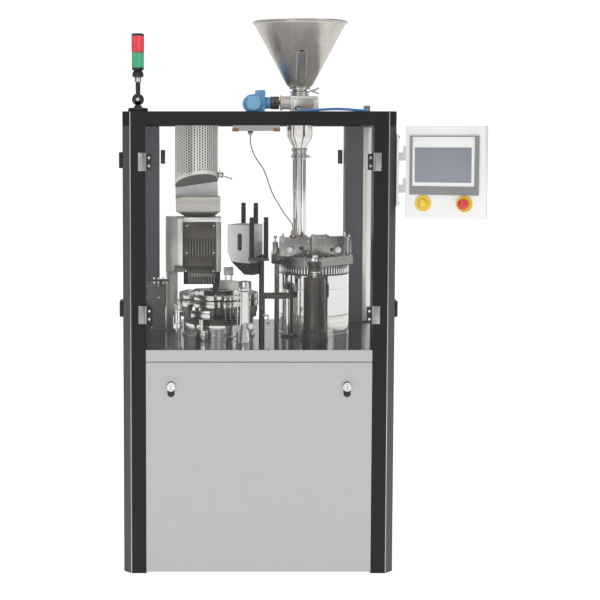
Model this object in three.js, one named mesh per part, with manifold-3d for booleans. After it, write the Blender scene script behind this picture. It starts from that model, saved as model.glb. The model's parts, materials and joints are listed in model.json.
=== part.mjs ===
// Capsule filling machine: a glazed steel cabinet with a capsule magazine, an indexing turret,
// a powder dosing station, hoppers, a light tower and a swinging control panel.
// Millimetres, +Z up. The front faces -Y. The origin is on the floor, under the middle of the cabinet.

import * as THREE from 'three';
import { mergeVertices } from 'three/addons/utils/BufferGeometryUtils.js';
import { ConvexGeometry } from 'three/addons/geometries/ConvexGeometry.js';
import Module from 'manifold-3d';

const wasm = await Module();
wasm.setup();

// ---- Driving dimensions -------------------------------------------------------------------

const GAP = 0.3;                 // clearance between touching pieces
const CABINET_WIDTH = 1020;
const CABINET_DEPTH = 860;
const CABINET_HEIGHT = 1743;
const POST = 86;                 // front posts are square
const REAR_POST_WIDTH = 112;
const POST_CHAMFER = 30;
const POST_WALL = 4;
const BEAM_HEIGHT = 52;
const BEAM_WIDTH = 60;
const ROOF_THICKNESS = 12;
const TABLE_TOP = 852;
const TABLE_THICKNESS = 6;
const FASCIA_HEIGHT = 43.5;
const COVER_BOTTOM = 6;
const COVER_SEAM = 3;
const SHEET = 3;                 // thickness of the sheet covers
const COVER_FLANGE = 20;
const GLASS = 8;
const DOOR_BOTTOM = 855;
const DOOR_TOP = 1688;
const HINGE_OFFSET = 6;          // door hinge axes stand this far outside the glass
const ROUND = 24;                // sides of a large round
const MEDIUM_ROUND = 16;
const SMALL_ROUND = 12;          // sides of a small round

const halfWidth = CABINET_WIDTH / 2;
const halfDepth = CABINET_DEPTH / 2;
const beamBottom = CABINET_HEIGHT - BEAM_HEIGHT;
const frontOpening = halfWidth - POST;
const rearOpening = halfWidth - REAR_POST_WIDTH;
const sideOpening = halfDepth - POST;
const coverTop = TABLE_TOP - FASCIA_HEIGHT - COVER_SEAM;
const roofBottom = CABINET_HEIGHT - ROOF_THICKNESS;

// Stations on the table, as x, y of their axes.
const TURRET = [-147, -15];
const DOSING = [242, 44];
const FEEDER = [180, 44];
const CAPSULES = [-236, 25];
const CLOSING = [-49, -275];
const SUCTION = [-391, 110];
const LIGHT_TOWER = [-452, -385];
const PANEL_HINGE = [545, -385];
const PANEL_YAW = -20;           // degrees, towards a person standing at the doors
const PELLETS = [-112, -60];
const PELLET_YAW = -30;

const TURRET_RADIUS = 141;
const SEGMENT_REACH = 156;       // radius of the outer faces of the capsule segments
const STATIONS = 8;
const DOSING_RADIUS = 142;
const HOPPER_RIM_HEIGHT = 366;   // powder hopper rim above the roof
const DRUM_RADIUS = 88;          // capsule hopper
const LOCK_X = 330;
const LOCK_HEIGHT = 714;
const SHAFT_HEIGHT = 610;        // main shaft in the lower compartment
const SHAFT_RADIUS = 20;

// ---- Finishes -----------------------------------------------------------------------------

const FINISH = {
  blackPaint: [0x2d2e2d, 0.45, 0.1],
  greyPaint: [0xc2c1bf, 0.4, 0.2],
  whitePaint: [0xf2f2f0, 0.35, 0.1],
  polished: [0xd8d8d6, 0.12, 1],
  brushed: [0xb9b4ae, 0.35, 1],
  darkSteel: [0x5f5a56, 0.35, 0.9],
  black: [0x1e1e1f, 0.5, 0.1],
  glass: [0xdfe9e8, 0.05, 0],
  red: [0xd8382c, 0.35, 0],
  green: [0x2f9a5a, 0.35, 0],
  blue: [0x3f86c4, 0.45, 0.2],
  yellow: [0xe8c62c, 0.45, 0],
  greyPlastic: [0x9a9a9a, 0.5, 0],
  castIron: [0x6d7276, 0.6, 0.5],
};

// ---- Helpers ------------------------------------------------------------------------------

function box(x0, x1, y0, y1, z0, z1) {
  const geometry = new THREE.BoxGeometry(x1 - x0, y1 - y0, z1 - z0);
  return geometry.translate((x0 + x1) / 2, (y0 + y1) / 2, (z0 + z1) / 2);
}

// A round bar along z, centred on x, y.
function rod(radius, z0, z1, x = 0, y = 0, sides = SMALL_ROUND) {
  const geometry = new THREE.CylinderGeometry(radius, radius, z1 - z0, sides);
  return geometry.rotateX(Math.PI / 2).translate(x, y, (z0 + z1) / 2);
}

// Round bars along x and along y.
function rodX(radius, x0, x1, y, z, sides = SMALL_ROUND) {
  return rod(radius, x0, x1, 0, 0, sides).rotateY(Math.PI / 2).translate(0, y, z);
}

function rodY(radius, y0, y1, x, z, sides = SMALL_ROUND) {
  return rod(radius, -y1, -y0, 0, 0, sides).rotateX(Math.PI / 2).translate(x, 0, z);
}

// A turned piece about z from a profile of [radius, z] points.
function turned(profile, sides = ROUND) {
  const points = profile.map(([radius, z]) => new THREE.Vector2(radius, z));
  return new THREE.LatheGeometry(points, sides).rotateX(Math.PI / 2);
}

// A flat outline of [x, y] points raised from z0 to z1.
function raised(outline, z0, z1) {
  const shape = new THREE.Shape(outline.map(([x, y]) => new THREE.Vector2(x, y)));
  const settings = { depth: z1 - z0, bevelEnabled: false, steps: 1 };
  return new THREE.ExtrudeGeometry(shape, settings).translate(0, 0, z0);
}

function hull(points) {
  return new ConvexGeometry(points.map(([x, y, z]) => new THREE.Vector3(x, y, z)));
}

// A round tube along a smooth route of [x, y, z] points.
function tube(route, radius, sides, steps) {
  const curve = new THREE.CatmullRomCurve3(route.map((p) => new THREE.Vector3(...p)));
  const section = [];
  for (let i = 0; i < sides; i += 1) {
    const angle = (2 * Math.PI * i) / sides;
    section.push(new THREE.Vector2(radius * Math.cos(angle), radius * Math.sin(angle)));
  }
  const settings = { steps, bevelEnabled: false, extrudePath: curve };
  return new THREE.ExtrudeGeometry(new THREE.Shape(section), settings);
}

function toSolid(geometry) {
  const bare = geometry.clone();
  bare.deleteAttribute('normal');
  bare.deleteAttribute('uv');
  const merged = mergeVertices(bare, 1e-4);
  const count = merged.attributes.position.count;
  const triVerts = merged.index
    ? Uint32Array.from(merged.index.array)
    : Uint32Array.from({ length: count }, (_, i) => i);
  const vertProperties = Float32Array.from(merged.attributes.position.array);
  return new wasm.Manifold(new wasm.Mesh({ numProp: 3, vertProperties, triVerts }));
}

function toGeometry(solid) {
  const { vertProperties, triVerts } = solid.getMesh();
  const geometry = new THREE.BufferGeometry();
  geometry.setAttribute('position', new THREE.BufferAttribute(vertProperties, 3));
  geometry.setIndex(new THREE.BufferAttribute(triVerts, 1));
  return geometry;
}

function join(...pieces) {
  return toGeometry(pieces.map(toSolid).reduce((whole, piece) => whole.add(piece)));
}

function cut(body, ...tools) {
  return toGeometry(tools.map(toSolid).reduce((whole, tool) => whole.subtract(tool), toSolid(body)));
}

function group(parent, x = 0, y = 0, z = 0, yaw = 0) {
  const made = new THREE.Group();
  made.position.set(x, y, z);
  made.rotation.z = THREE.MathUtils.degToRad(yaw);
  parent.add(made);
  return made;
}

function add(parent, name, geometry, finish, x = 0, y = 0, z = 0) {
  const [color, roughness, metalness] = FINISH[finish];
  const material = new THREE.MeshStandardMaterial({ color, roughness, metalness });
  const mesh = new THREE.Mesh(geometry, material);
  mesh.name = name;
  mesh.position.set(x, y, z);
  parent.add(mesh);
  return mesh;
}

const machine = new THREE.Group();

// ---- Base and posts -----------------------------------------------------------------------

// An outline of the cabinet's plan, inset, with its four corners notched for the posts.
function notchedPlan(inset, clearance) {
  const x = halfWidth - inset;
  const y = halfDepth - inset;
  const frontX = frontOpening - clearance;
  const rearX = rearOpening - clearance;
  const sideY = sideOpening - clearance;
  return [
    [-frontX, -y], [frontX, -y], [frontX, -sideY], [x, -sideY], [x, sideY], [rearX, sideY],
    [rearX, y], [-rearX, y], [-rearX, sideY], [-x, sideY], [-x, -sideY], [-frontX, -sideY],
  ];
}

function baseFrame() {
  const height = 60;
  const floor = 8;
  const inset = 26;
  const insideX = 340;
  const insideY = 292;
  const frame = raised(notchedPlan(inset, GAP), 0, height);
  return cut(frame, box(-insideX, insideX, -insideY, insideY, floor, height + 1));
}

// A hollow post with its outer corner chamfered; side is -1 for left, end is -1 for front.
function post(width, side, end) {
  const outerX = side * halfWidth;
  const innerX = side * (halfWidth - width);
  const outerY = end * halfDepth;
  const innerY = end * (halfDepth - POST);
  const outline = [
    [innerX, innerY], [outerX, innerY], [outerX, outerY - end * POST_CHAMFER],
    [outerX - side * POST_CHAMFER, outerY], [innerX, outerY],
  ];
  const wall = POST_WALL;
  const hollow = [
    [innerX + side * wall, innerY + end * wall],
    [outerX - side * wall, innerY + end * wall],
    [outerX - side * wall, outerY - end * (POST_CHAMFER + wall / 2)],
    [outerX - side * (POST_CHAMFER + wall / 2), outerY - end * wall],
    [innerX + side * wall, outerY - end * wall],
  ];
  const top = beamBottom - GAP;
  return cut(raised(outline, 0, top), raised(hollow, -1, top + 1));
}

const cabinet = group(machine);
add(cabinet, 'base_frame', baseFrame(), 'castIron');
for (const [name, side] of [['left', -1], ['right', 1]]) {
  add(cabinet, `post_front_${name}`, post(POST, side, -1), 'blackPaint');
  add(cabinet, `post_rear_${name}`, post(REAR_POST_WIDTH, side, 1), 'blackPaint');
}

// ---- Top frame and roof -------------------------------------------------------------------

function topFrame() {
  const x = halfWidth;
  const y = halfDepth;
  const c = POST_CHAMFER;
  const outline = [
    [-x, -y + c], [-x + c, -y], [x - c, -y], [x, -y + c],
    [x, y - c], [x - c, y], [-x + c, y], [-x, y - c],
  ];
  const beam = raised(outline, beamBottom, CABINET_HEIGHT);
  const insideX = x - BEAM_WIDTH;
  const insideY = y - BEAM_WIDTH;
  const inside = box(-insideX, insideX, -insideY, insideY, beamBottom - 1, CABINET_HEIGHT + 1);
  return cut(beam, inside);
}

const GLAND = [-19, 30];
const GLAND_END = 1655;
const HOSE_FITTING = [430, -150];
const HOSE_RADIUS = 5;

function roofPanel() {
  const x = halfWidth - BEAM_WIDTH - GAP;
  const y = halfDepth - BEAM_WIDTH - GAP;
  const ceilingBox = box(-90, 98, 0, 60, 1671, roofBottom + 1);
  const gland = rod(9, GLAND_END, 1672, ...GLAND, 12);
  const [fittingX, fittingY] = HOSE_FITTING;
  const hoseFitting = box(fittingX - 12, fittingX + 12, fittingY, fittingY + 24, roofBottom + 2, 1770);
  const plate = join(box(-x, x, -y, y, roofBottom, CABINET_HEIGHT), ceilingBox, gland, hoseFitting);
  const capsuleMouth = rod(DRUM_RADIUS - 2, roofBottom - 1, CABINET_HEIGHT + 1, ...CAPSULES, ROUND);
  const powderHole = rod(40, roofBottom - 1, CABINET_HEIGHT + 1, ...FEEDER, ROUND);
  return cut(plate, capsuleMouth, powderHole);
}

add(cabinet, 'top_frame', topFrame(), 'blackPaint');
add(cabinet, 'roof_panel', roofPanel(), 'greyPaint');

// ---- Table, fascia and the hangers that carry the main shaft -------------------------------

const HANGERS = [-350, 230];

function tablePlate() {
  const inset = 2;
  const apron = 6;
  const top = raised(notchedPlan(inset, GAP), TABLE_TOP - TABLE_THICKNESS, TABLE_TOP);
  const low = TABLE_TOP - FASCIA_HEIGHT;
  const high = TABLE_TOP - 1;
  const x = halfWidth - inset;
  const y = halfDepth - inset;
  const side = sideOpening - GAP;
  const rear = rearOpening - GAP;
  const pieces = [
    top,
    box(-x, -x + apron, -side, side, low, high),
    box(x - apron, x, -side, side, low, high),
    box(-rear, rear, y - apron, y, low, high),
  ];
  for (const hanger of HANGERS) {
    pieces.push(box(hanger - 12, hanger + 12, -45, 45, SHAFT_HEIGHT - 50, high));
  }
  const frontStrip = box(-halfWidth, halfWidth, -halfDepth, -halfDepth + 10.3, low, TABLE_TOP + 1);
  return cut(join(...pieces), frontStrip, rodX(SHAFT_RADIUS + 1, -400, 300, 0, SHAFT_HEIGHT));
}

function frontFascia() {
  const x = frontOpening - GAP;
  return box(-x, x, -halfDepth, -halfDepth + 10, TABLE_TOP - FASCIA_HEIGHT, TABLE_TOP);
}

add(cabinet, 'table_plate', tablePlate(), 'polished');
add(cabinet, 'front_fascia', frontFascia(), 'greyPaint');

// ---- Lower covers -------------------------------------------------------------------------

// A shallow pan of folded sheet, open at its back, standing on z = 0 with its front face at y = 0.
function pan(width, height, depth) {
  const outside = box(-width / 2, width / 2, 0, depth, 0, height);
  const inside = box(-width / 2 + SHEET, width / 2 - SHEET, SHEET, depth + 1, SHEET, height - SHEET);
  return cut(outside, inside);
}

const coverHeight = coverTop - COVER_BOTTOM;
const frontCoverWidth = 2 * (frontOpening - GAP);
const LOCK_SHAFT = 7;

function frontCover() {
  const z = LOCK_HEIGHT - COVER_BOTTOM;
  const holes = [-LOCK_X, LOCK_X].map((x) => rodY(LOCK_SHAFT + 0.5, -1, SHEET + 1, x, z, SMALL_ROUND));
  return cut(pan(frontCoverWidth, coverHeight, COVER_FLANGE), ...holes);
}

add(cabinet, 'lower_front_cover', frontCover(), 'greyPaint', 0, -halfDepth, COVER_BOTTOM);

const sidePan = pan(2 * (sideOpening - GAP), coverHeight, COVER_FLANGE);
const leftCover = add(cabinet, 'lower_left_cover', sidePan, 'greyPaint', -halfWidth + 2, 0, COVER_BOTTOM);
leftCover.rotation.z = -Math.PI / 2;
const rightCover = add(cabinet, 'lower_right_cover', sidePan, 'greyPaint', halfWidth - 2, 0, COVER_BOTTOM);
rightCover.rotation.z = Math.PI / 2;

const rearPan = pan(2 * (rearOpening - GAP), coverHeight, COVER_FLANGE);
const rearCover = add(cabinet, 'lower_rear_cover', rearPan, 'greyPaint', 0, halfDepth - 2, COVER_BOTTOM);
rearCover.rotation.z = Math.PI;

// A quarter-turn lock: a barrel in front of the cover, a shaft through it and a cam behind.
function coverLock() {
  const barrel = rodY(17, -9, -GAP, 0, 0, MEDIUM_ROUND);
  const shaft = rodY(LOCK_SHAFT, -1, 12, 0, 0, SMALL_ROUND);
  const cam = box(-9, 9, 6, 11, -32, 9);
  return join(barrel, shaft, cam);
}

for (const [name, side] of [['left', -1], ['right', 1]]) {
  add(cabinet, `cover_lock_${name}`, coverLock(), 'polished', side * LOCK_X, -halfDepth, LOCK_HEIGHT);
}

// ---- Glass doors: each is placed on its hinge axis ------------------------------------------

function pane(x0, x1, y0, y1) {
  return box(x0, x1, y0, y1, DOOR_BOTTOM, DOOR_TOP);
}

const DOOR_INSET = 2;            // the outer face of the glass stands this far inside the posts' faces
const EDGE = 3;                  // from the hinge axis to the near edge of the glass
const glassNear = HINGE_OFFSET + DOOR_INSET;
const glassFar = glassNear + GLASS;
const MEETING_GAP = 1.5;

function doubleDoors(place, opening, end) {
  const y = end * (halfDepth + HINGE_OFFSET);
  const reach = opening - MEETING_GAP;
  for (const [name, side] of [['left', -1], ['right', 1]]) {
    const xs = side < 0 ? [EDGE, reach] : [-reach, -EDGE];
    const ys = end < 0 ? [glassNear, glassFar] : [-glassFar, -glassNear];
    add(cabinet, `${place}_door_${name}`, pane(...xs, ...ys), 'glass', side * opening, y, 0);
  }
}

doubleDoors('front', frontOpening, -1);
doubleDoors('rear', rearOpening, 1);

const sideReach = 2 * sideOpening - EDGE;
for (const [name, side] of [['left', -1], ['right', 1]]) {
  const xs = side < 0 ? [glassNear, glassFar] : [-glassFar, -glassNear];
  const x = side * (halfWidth + HINGE_OFFSET);
  add(cabinet, `side_door_${name}`, pane(...xs, EDGE, sideReach), 'glass', x, -sideOpening, 0);
}

// ---- Light tower: heights are above the roof -------------------------------------------------

const KNUCKLE_HEIGHT = 44;
const KNUCKLE_RADIUS = 22;
const lightTower = group(machine, ...LIGHT_TOWER, CABINET_HEIGHT + GAP);

function towerBase() {
  const foot = turned([[0, 0], [36, 0], [36, 12], [14.5, 15], [14.5, 20], [0, 20]], MEDIUM_ROUND);
  const ear = box(-10, 10, -12, -GAP, 19, KNUCKLE_HEIGHT);
  return join(foot, ear, rodY(KNUCKLE_RADIUS, -12, -GAP, 0, KNUCKLE_HEIGHT, MEDIUM_ROUND));
}

function towerMast() {
  const disc = rodY(KNUCKLE_RADIUS, GAP, 12, 0, KNUCKLE_HEIGHT, MEDIUM_ROUND);
  const ear = box(-8, 8, GAP, 8, KNUCKLE_HEIGHT, 76);
  const mast = turned([
    [0, 68], [9, 68], [9, 107], [13, 108], [13, 126], [21, 128], [21, 140], [14, 151], [22, 153],
    [22, 161], [0, 161],
  ], MEDIUM_ROUND);
  return join(disc, ear, mast);
}

function lens(radius, z0, z1) {
  return turned([[0, z0], [radius, z0], [radius, z1 - 2], [radius - 2, z1], [0, z1]], MEDIUM_ROUND);
}

add(lightTower, 'tower_base', towerBase(), 'black');
add(lightTower, 'tower_mast', towerMast(), 'black');
add(lightTower, 'tower_lens_green', lens(22.5, 161.5, 218), 'green');
add(lightTower, 'tower_lens_red', lens(23.5, 218.5, 288), 'red');

// ---- Control panel: its bracket, then the pieces that swing on the bracket -------------------

const BRACKET_LOW = 1440;
const BRACKET_HIGH = 1560;
const EAR_HEIGHT = 30;
const KNUCKLE = 8;

function panelBracket() {
  const [hingeX, hingeY] = PANEL_HINGE;
  const inner = halfWidth + GAP;
  const pieces = [box(inner, inner + 8, hingeY - 28, hingeY + 28, 1390, 1660)];
  for (const low of [BRACKET_LOW, BRACKET_HIGH]) {
    pieces.push(box(inner + 4, hingeX, hingeY - 6, hingeY + 6, low, low + EAR_HEIGHT));
    pieces.push(rod(KNUCKLE, low, low + EAR_HEIGHT, hingeX, hingeY, SMALL_ROUND));
  }
  return join(...pieces);
}

add(cabinet, 'panel_bracket', panelBracket(), 'whitePaint');

const controlPanel = group(machine, ...PANEL_HINGE, 0, PANEL_YAW);
const PANEL = { x0: 16, x1: 306, front: -70, back: 10, z0: 1347, z1: 1688 };
const BUTTON_HEIGHT = 1405;
const START_X = 83;
const ESTOP_X = 234;
const STOP_STEM = 11;
const START_STEM = 14;

function panelHousing() {
  const { x0, x1, front, back, z0, z1 } = PANEL;
  const pieces = [box(x0, x1, front, back, z0, z1)];
  for (const low of [BRACKET_LOW, BRACKET_HIGH]) {
    const base = low + EAR_HEIGHT + GAP;
    pieces.push(box(0, x0 + 1, -6, 6, base, base + 24));
    pieces.push(rod(KNUCKLE, base, base + 24, 0, 0, SMALL_ROUND));
  }
  const inside = box(x0 + SHEET, x1 - SHEET, front + SHEET, back - SHEET, z0 + SHEET, z1 - SHEET);
  const cableHole = rod(12, z0 - 1, z0 + SHEET + 1, x0 + 50, (front + back) / 2);
  const stopHole = rodY(STOP_STEM + 1, front - 1, front + 5, ESTOP_X, BUTTON_HEIGHT, SMALL_ROUND);
  const startHole = rodY(START_STEM + 1, front - 1, front + 5, START_X, BUTTON_HEIGHT, SMALL_ROUND);
  return cut(join(...pieces), inside, cableHole, stopHole, startHole);
}

function touchScreen() {
  const front = PANEL.front;
  const bezel = box(33, 286, front - 8, front - GAP, 1437, 1653);
  return cut(bezel, box(53, 258, front - 9, front - 6, 1483, 1609));
}

function stopButton() {
  const profile = [[0, 0], [STOP_STEM, 0], [STOP_STEM, 34], [20, 38], [20, 50], [15, 56], [0, 58]];
  return turned(profile, MEDIUM_ROUND).rotateX(Math.PI / 2);
}

function startButton() {
  return turned([[0, 0], [START_STEM, 0], [START_STEM, 27], [12, 29], [0, 29]], MEDIUM_ROUND).rotateX(Math.PI / 2);
}

add(controlPanel, 'panel_housing', panelHousing(), 'whitePaint');
add(controlPanel, 'touch_screen', touchScreen(), 'greyPlastic');
const STEM_DEPTH = 15;           // how far the button stems reach into the housing
add(controlPanel, 'estop_button', stopButton(), 'red', ESTOP_X, PANEL.front + STEM_DEPTH, BUTTON_HEIGHT);
add(controlPanel, 'start_button', startButton(), 'yellow', START_X, PANEL.front + STEM_DEPTH, BUTTON_HEIGHT);

// ---- Powder feeder: heights are above the roof -----------------------------------------------

const feeder = group(machine, ...FEEDER, CABINET_HEIGHT + GAP);
const AUGER_HEIGHT = 41;
const FEED_BODY_TOP = 69;
const AUGER_BORE = 21;

const CLAMP_HEIGHT = 93;          // the clamped joint between the feeder's spout and the cone
const CONE_TOP = HOPPER_RIM_HEIGHT - 15;

function powderHopper() {
  const top = HOPPER_RIM_HEIGHT;
  return turned([
    [28, CLAMP_HEIGHT], [42, CLAMP_HEIGHT], [42, 97], [33, 99], [33, 104], [53, 112],
    [180, CONE_TOP], [180, top - 5], [192, top - 5], [192, top], [178, top], [178, CONE_TOP + 1],
    [51, 114], [30, 105], [28, 104], [28, CLAMP_HEIGHT],
  ], ROUND);
}

function feederBody() {
  const block = box(-33, 73, -50, 50, 0, FEED_BODY_TOP);
  const adapter = rodX(27, -79, -32, 0, AUGER_HEIGHT, MEDIUM_ROUND);
  const spout = turned([
    [0, FEED_BODY_TOP - 2], [40, FEED_BODY_TOP - 2], [40, 76], [31, 77], [31, CLAMP_HEIGHT - 6],
    [42, CLAMP_HEIGHT - 4], [42, CLAMP_HEIGHT - GAP], [0, CLAMP_HEIGHT - GAP],
  ], ROUND);
  const powderWay = rod(28, -1, CLAMP_HEIGHT + 1, 0, 0, ROUND);
  return cut(join(block, adapter, spout), powderWay, rodX(AUGER_BORE, -80, 60, 0, AUGER_HEIGHT, MEDIUM_ROUND));
}

// The screw conveyor with the star coupling on its driven end, along -x.
function feedAuger() {
  const flights = [];
  const pitch = 24;
  for (let z = -44; z <= 60; z += pitch) {
    flights.push([7, z], [17, z + 5], [7, z + 10]);
  }
  const screw = turned([[0, -57], [7, -57], ...flights, [7, 118], [0, 118]], SMALL_ROUND);
  const coupling = rod(26, 83, 118, 0, 0, MEDIUM_ROUND);
  return join(screw, coupling).rotateY(-Math.PI / 2).translate(0, 0, AUGER_HEIGHT);
}

function feederMotor() {
  const gearbox = box(-180, -140, -40, 40, 11, 92);
  const foot = box(-178, -142, -36, 36, 0, 12);
  const spacer = rodX(24, -141, -119, 0, AUGER_HEIGHT, MEDIUM_ROUND);
  const cover = rodY(35, -56, 60, -188, AUGER_HEIGHT, MEDIUM_ROUND);
  const motor = rodY(38, 59, 200, -188, AUGER_HEIGHT, MEDIUM_ROUND);
  return join(gearbox, foot, spacer, cover, motor);
}

add(feeder, 'powder_hopper', powderHopper(), 'brushed');
add(feeder, 'feeder_body', feederBody(), 'polished');
add(feeder, 'feed_auger', feedAuger(), 'darkSteel');
add(feeder, 'feeder_motor', feederMotor(), 'blue');

// The funnel under the roof and the tube down to the dosing bowl, at world heights.
const feedLine = group(machine, ...FEEDER);
const TUBE_TOP = 1594;
const TUBE_BOTTOM = 1150;
const TUBE_RADIUS = 27;

function feedFunnel() {
  const top = roofBottom - GAP;
  const wall = 2;
  return turned([
    [TUBE_RADIUS - wall, TUBE_TOP + GAP], [TUBE_RADIUS + 6, TUBE_TOP + GAP],
    [TUBE_RADIUS + 6, TUBE_TOP + 6], [TUBE_RADIUS, TUBE_TOP + 7], [52, 1650], [52, top - 6],
    [70, top - 6], [70, top], [52 - wall, top], [52 - wall, 1651], [TUBE_RADIUS - wall, TUBE_TOP + 8],
    [TUBE_RADIUS - wall, TUBE_TOP + GAP],
  ], ROUND);
}

function feedTube() {
  const inside = TUBE_RADIUS - 2;
  return turned([
    [inside, TUBE_BOTTOM], [TUBE_RADIUS, TUBE_BOTTOM], [TUBE_RADIUS, 1560], [35, 1561], [35, 1575],
    [TUBE_RADIUS, 1576], [TUBE_RADIUS, TUBE_TOP - 6], [TUBE_RADIUS + 6, TUBE_TOP - 6],
    [TUBE_RADIUS + 6, TUBE_TOP], [inside, TUBE_TOP], [inside, TUBE_BOTTOM],
  ], MEDIUM_ROUND);
}

add(feedLine, 'feed_funnel', feedFunnel(), 'brushed');
add(feedLine, 'feed_tube', feedTube(), 'polished');

// ---- Capsule hopper, its window box, chute and gate lever ------------------------------------

const capsuleSupply = group(machine, ...CAPSULES);
const DRUM_FLOOR = 1463;         // height of the sloped floor on the drum's axis
const FLOOR_SLOPE = [0.148, -0.398];
const LEVER_HEIGHT = 1494;

// Everything below the drum's sloped floor, lowered by drop.
function belowFloor(drop) {
  const reach = 160;
  const [slopeX, slopeY] = FLOOR_SLOPE;
  const points = [];
  for (const x of [-reach, reach]) {
    for (const y of [-reach, reach]) {
      points.push([x, y, 1200]);
      points.push([x, y, DRUM_FLOOR + slopeX * x + slopeY * y - drop]);
    }
  }
  return hull(points);
}

function capsuleHopper() {
  const top = roofBottom - GAP;
  const outside = join(
    rod(DRUM_RADIUS, 1400, top, 0, 0, ROUND),
    rod(DRUM_RADIUS + 14, top - 6, top, 0, 0, ROUND),
    box(DRUM_RADIUS - 2, DRUM_RADIUS + 20, -20, 0, LEVER_HEIGHT - 10, LEVER_HEIGHT + 10),
  );
  const inside = cut(rod(DRUM_RADIUS - 2, 1400, top + 1, 0, 0, ROUND), belowFloor(-2));
  const outlet = box(-50, 50, 30, 68, 1400, 1500);
  return cut(outside, belowFloor(0), inside, outlet);
}

const WINDOW_BOX = { x0: -84, x1: 85, y0: 20, y1: 78 };

function capsuleWindow() {
  const { x0, x1, y0, y1 } = WINDOW_BOX;
  const wall = 3;
  const outside = box(x0, x1, y0, y1, 1407.3, 1500);
  const inside = box(x0 + wall, x1 - wall, y0 + wall, y1 - wall, 1400, 1501);
  const aboveFloor = cut(box(-150, 150, -150, 150, 1300, 1600), belowFloor(0.4));
  return cut(outside, inside, aboveFloor);
}

function chuteShell(inset, extra) {
  const { x0, x1, y1 } = WINDOW_BOX;
  const points = [];
  for (const x of [x0 + inset, x1 + 11 - inset]) {
    for (const y of [-25 + inset, y1 - inset]) {
      points.push([x, y, 1346 + inset / 3], [x, y, 1407 + extra]);
    }
  }
  for (const x of [-45 + inset, 70 - inset]) {
    for (const y of [inset, 60 - inset]) {
      points.push([x, y, 1325.5 - extra]);
    }
  }
  return hull(points);
}

// The lever that opens the gate in the drum's floor.
function gateLever() {
  const hub = rodY(8, -9.7, -GAP, 0, 0, SMALL_ROUND);
  const arm = rodX(3, 0, 46, -5, 0, 10).rotateY(THREE.MathUtils.degToRad(18));
  return join(hub, arm, rod(2, 0, 26, -2, -5, 8));
}

add(capsuleSupply, 'capsule_hopper', capsuleHopper(), 'brushed');
add(capsuleSupply, 'capsule_window', capsuleWindow(), 'glass');
add(capsuleSupply, 'capsule_chute', cut(chuteShell(0, 0), chuteShell(2, 1)), 'brushed');
add(capsuleSupply, 'gate_lever', gateLever(), 'polished', DRUM_RADIUS + 8, -20, LEVER_HEIGHT);

// ---- Capsule magazine ------------------------------------------------------------------------

const MAGAZINE = { x0: -362, x1: -136, y0: 0, y1: 90, z0: 1100, z1: 1325 };
const SLOT_PITCH = 11.4;
const SLOT_WIDTH = 4.5;
const SLOT_COUNT = 9;
const SLOT_CENTRE = -221.5;

// The x of each of a row of slots about a centre.
function slotRow(count, centre) {
  return Array.from({ length: count }, (_, i) => centre + (i - (count - 1) / 2) * SLOT_PITCH);
}

function magazineHousing() {
  const { x0, x1, y0, y1, z0, z1 } = MAGAZINE;
  const pieces = [
    box(x0, x1, y0 + 12, y1, z0, z1),
    box(-289, -160, y0, y0 + 13, z0, 1303),
    box(x0 + 17, x1 - 4, y1 - 1, y1 + 90, z0, z0 + 30),
  ];
  for (const legX of [x0 + 17, x1 - 34]) {
    pieces.push(box(legX, legX + 30, y1 + 60, y1 + 90, TABLE_TOP + GAP, z0 + 1));
  }
  const magazineBin = box(x0 + 12, x1 - 12, y0 + 24, y1 - 12, 1160, z1 + 1);
  const slots = slotRow(SLOT_COUNT, SLOT_CENTRE).map((x) => {
    return box(x - SLOT_WIDTH / 2, x + SLOT_WIDTH / 2, y0 - 1, y0 + 30, 1166, 1238);
  });
  return cut(join(...pieces), magazineBin, ...slots);
}

// The comb that feeds one row of capsules down at each stroke.
function magazineComb() {
  const slots = slotRow(SLOT_COUNT, SLOT_CENTRE).map((x) => {
    return box(x - SLOT_WIDTH / 2, x + SLOT_WIDTH / 2, -1, 19, 1050, 1088);
  });
  return cut(box(-272, -160, 1, 17, 1055, 1099), ...slots);
}

add(machine, 'magazine_housing', magazineHousing(), 'darkSteel');
add(machine, 'magazine_comb', magazineComb(), 'darkSteel');

// ---- Indexing turret: heights are above the table --------------------------------------------

const turret = group(machine, ...TURRET, TABLE_TOP + GAP);
const HUB_RADIUS = 60;

function turretDrum() {
  return turned([
    [0, 0], [TURRET_RADIUS + 6, 0], [TURRET_RADIUS + 6, 6], [TURRET_RADIUS, 8], [TURRET_RADIUS, 26],
    [TURRET_RADIUS - 2, 27], [TURRET_RADIUS, 28], [TURRET_RADIUS, 53], [0, 53],
  ], ROUND);
}

function turretDisc() {
  return turned([
    [0, 53.5], [TURRET_RADIUS - 3, 53.5], [TURRET_RADIUS, 57], [TURRET_RADIUS, 73], [96, 74],
    [HUB_RADIUS, 82], [HUB_RADIUS, 176], [HUB_RADIUS - 6, 180], [0, 180],
  ], ROUND);
}

// A ring of capsule segments: one block at each station, on a thin carrier ring round the hub.
function segments(z0, z1, width, depth) {
  const ring = turned([
    [HUB_RADIUS + 1, z0], [SEGMENT_REACH - depth + 6, z0], [SEGMENT_REACH - depth + 6, z1 - 4],
    [HUB_RADIUS + 1, z1 - 4], [HUB_RADIUS + 1, z0],
  ], ROUND);
  const pieces = [ring];
  for (let i = 0; i < STATIONS; i += 1) {
    const block = box(-width / 2, width / 2, SEGMENT_REACH - depth, SEGMENT_REACH, z0, z1);
    pieces.push(block.rotateZ(((i + 0.5) * 2 * Math.PI) / STATIONS));
  }
  return join(...pieces);
}

add(turret, 'turret_drum', turretDrum(), 'polished');
add(turret, 'turret_disc', turretDisc(), 'darkSteel');
add(turret, 'lower_segments', segments(121, 148, 88, 45), 'brushed');
add(turret, 'upper_segments', segments(152, 171, 84, 40), 'polished');

// ---- Closing station -------------------------------------------------------------------------

const closing = group(machine, ...CLOSING, TABLE_TOP + GAP);

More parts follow.
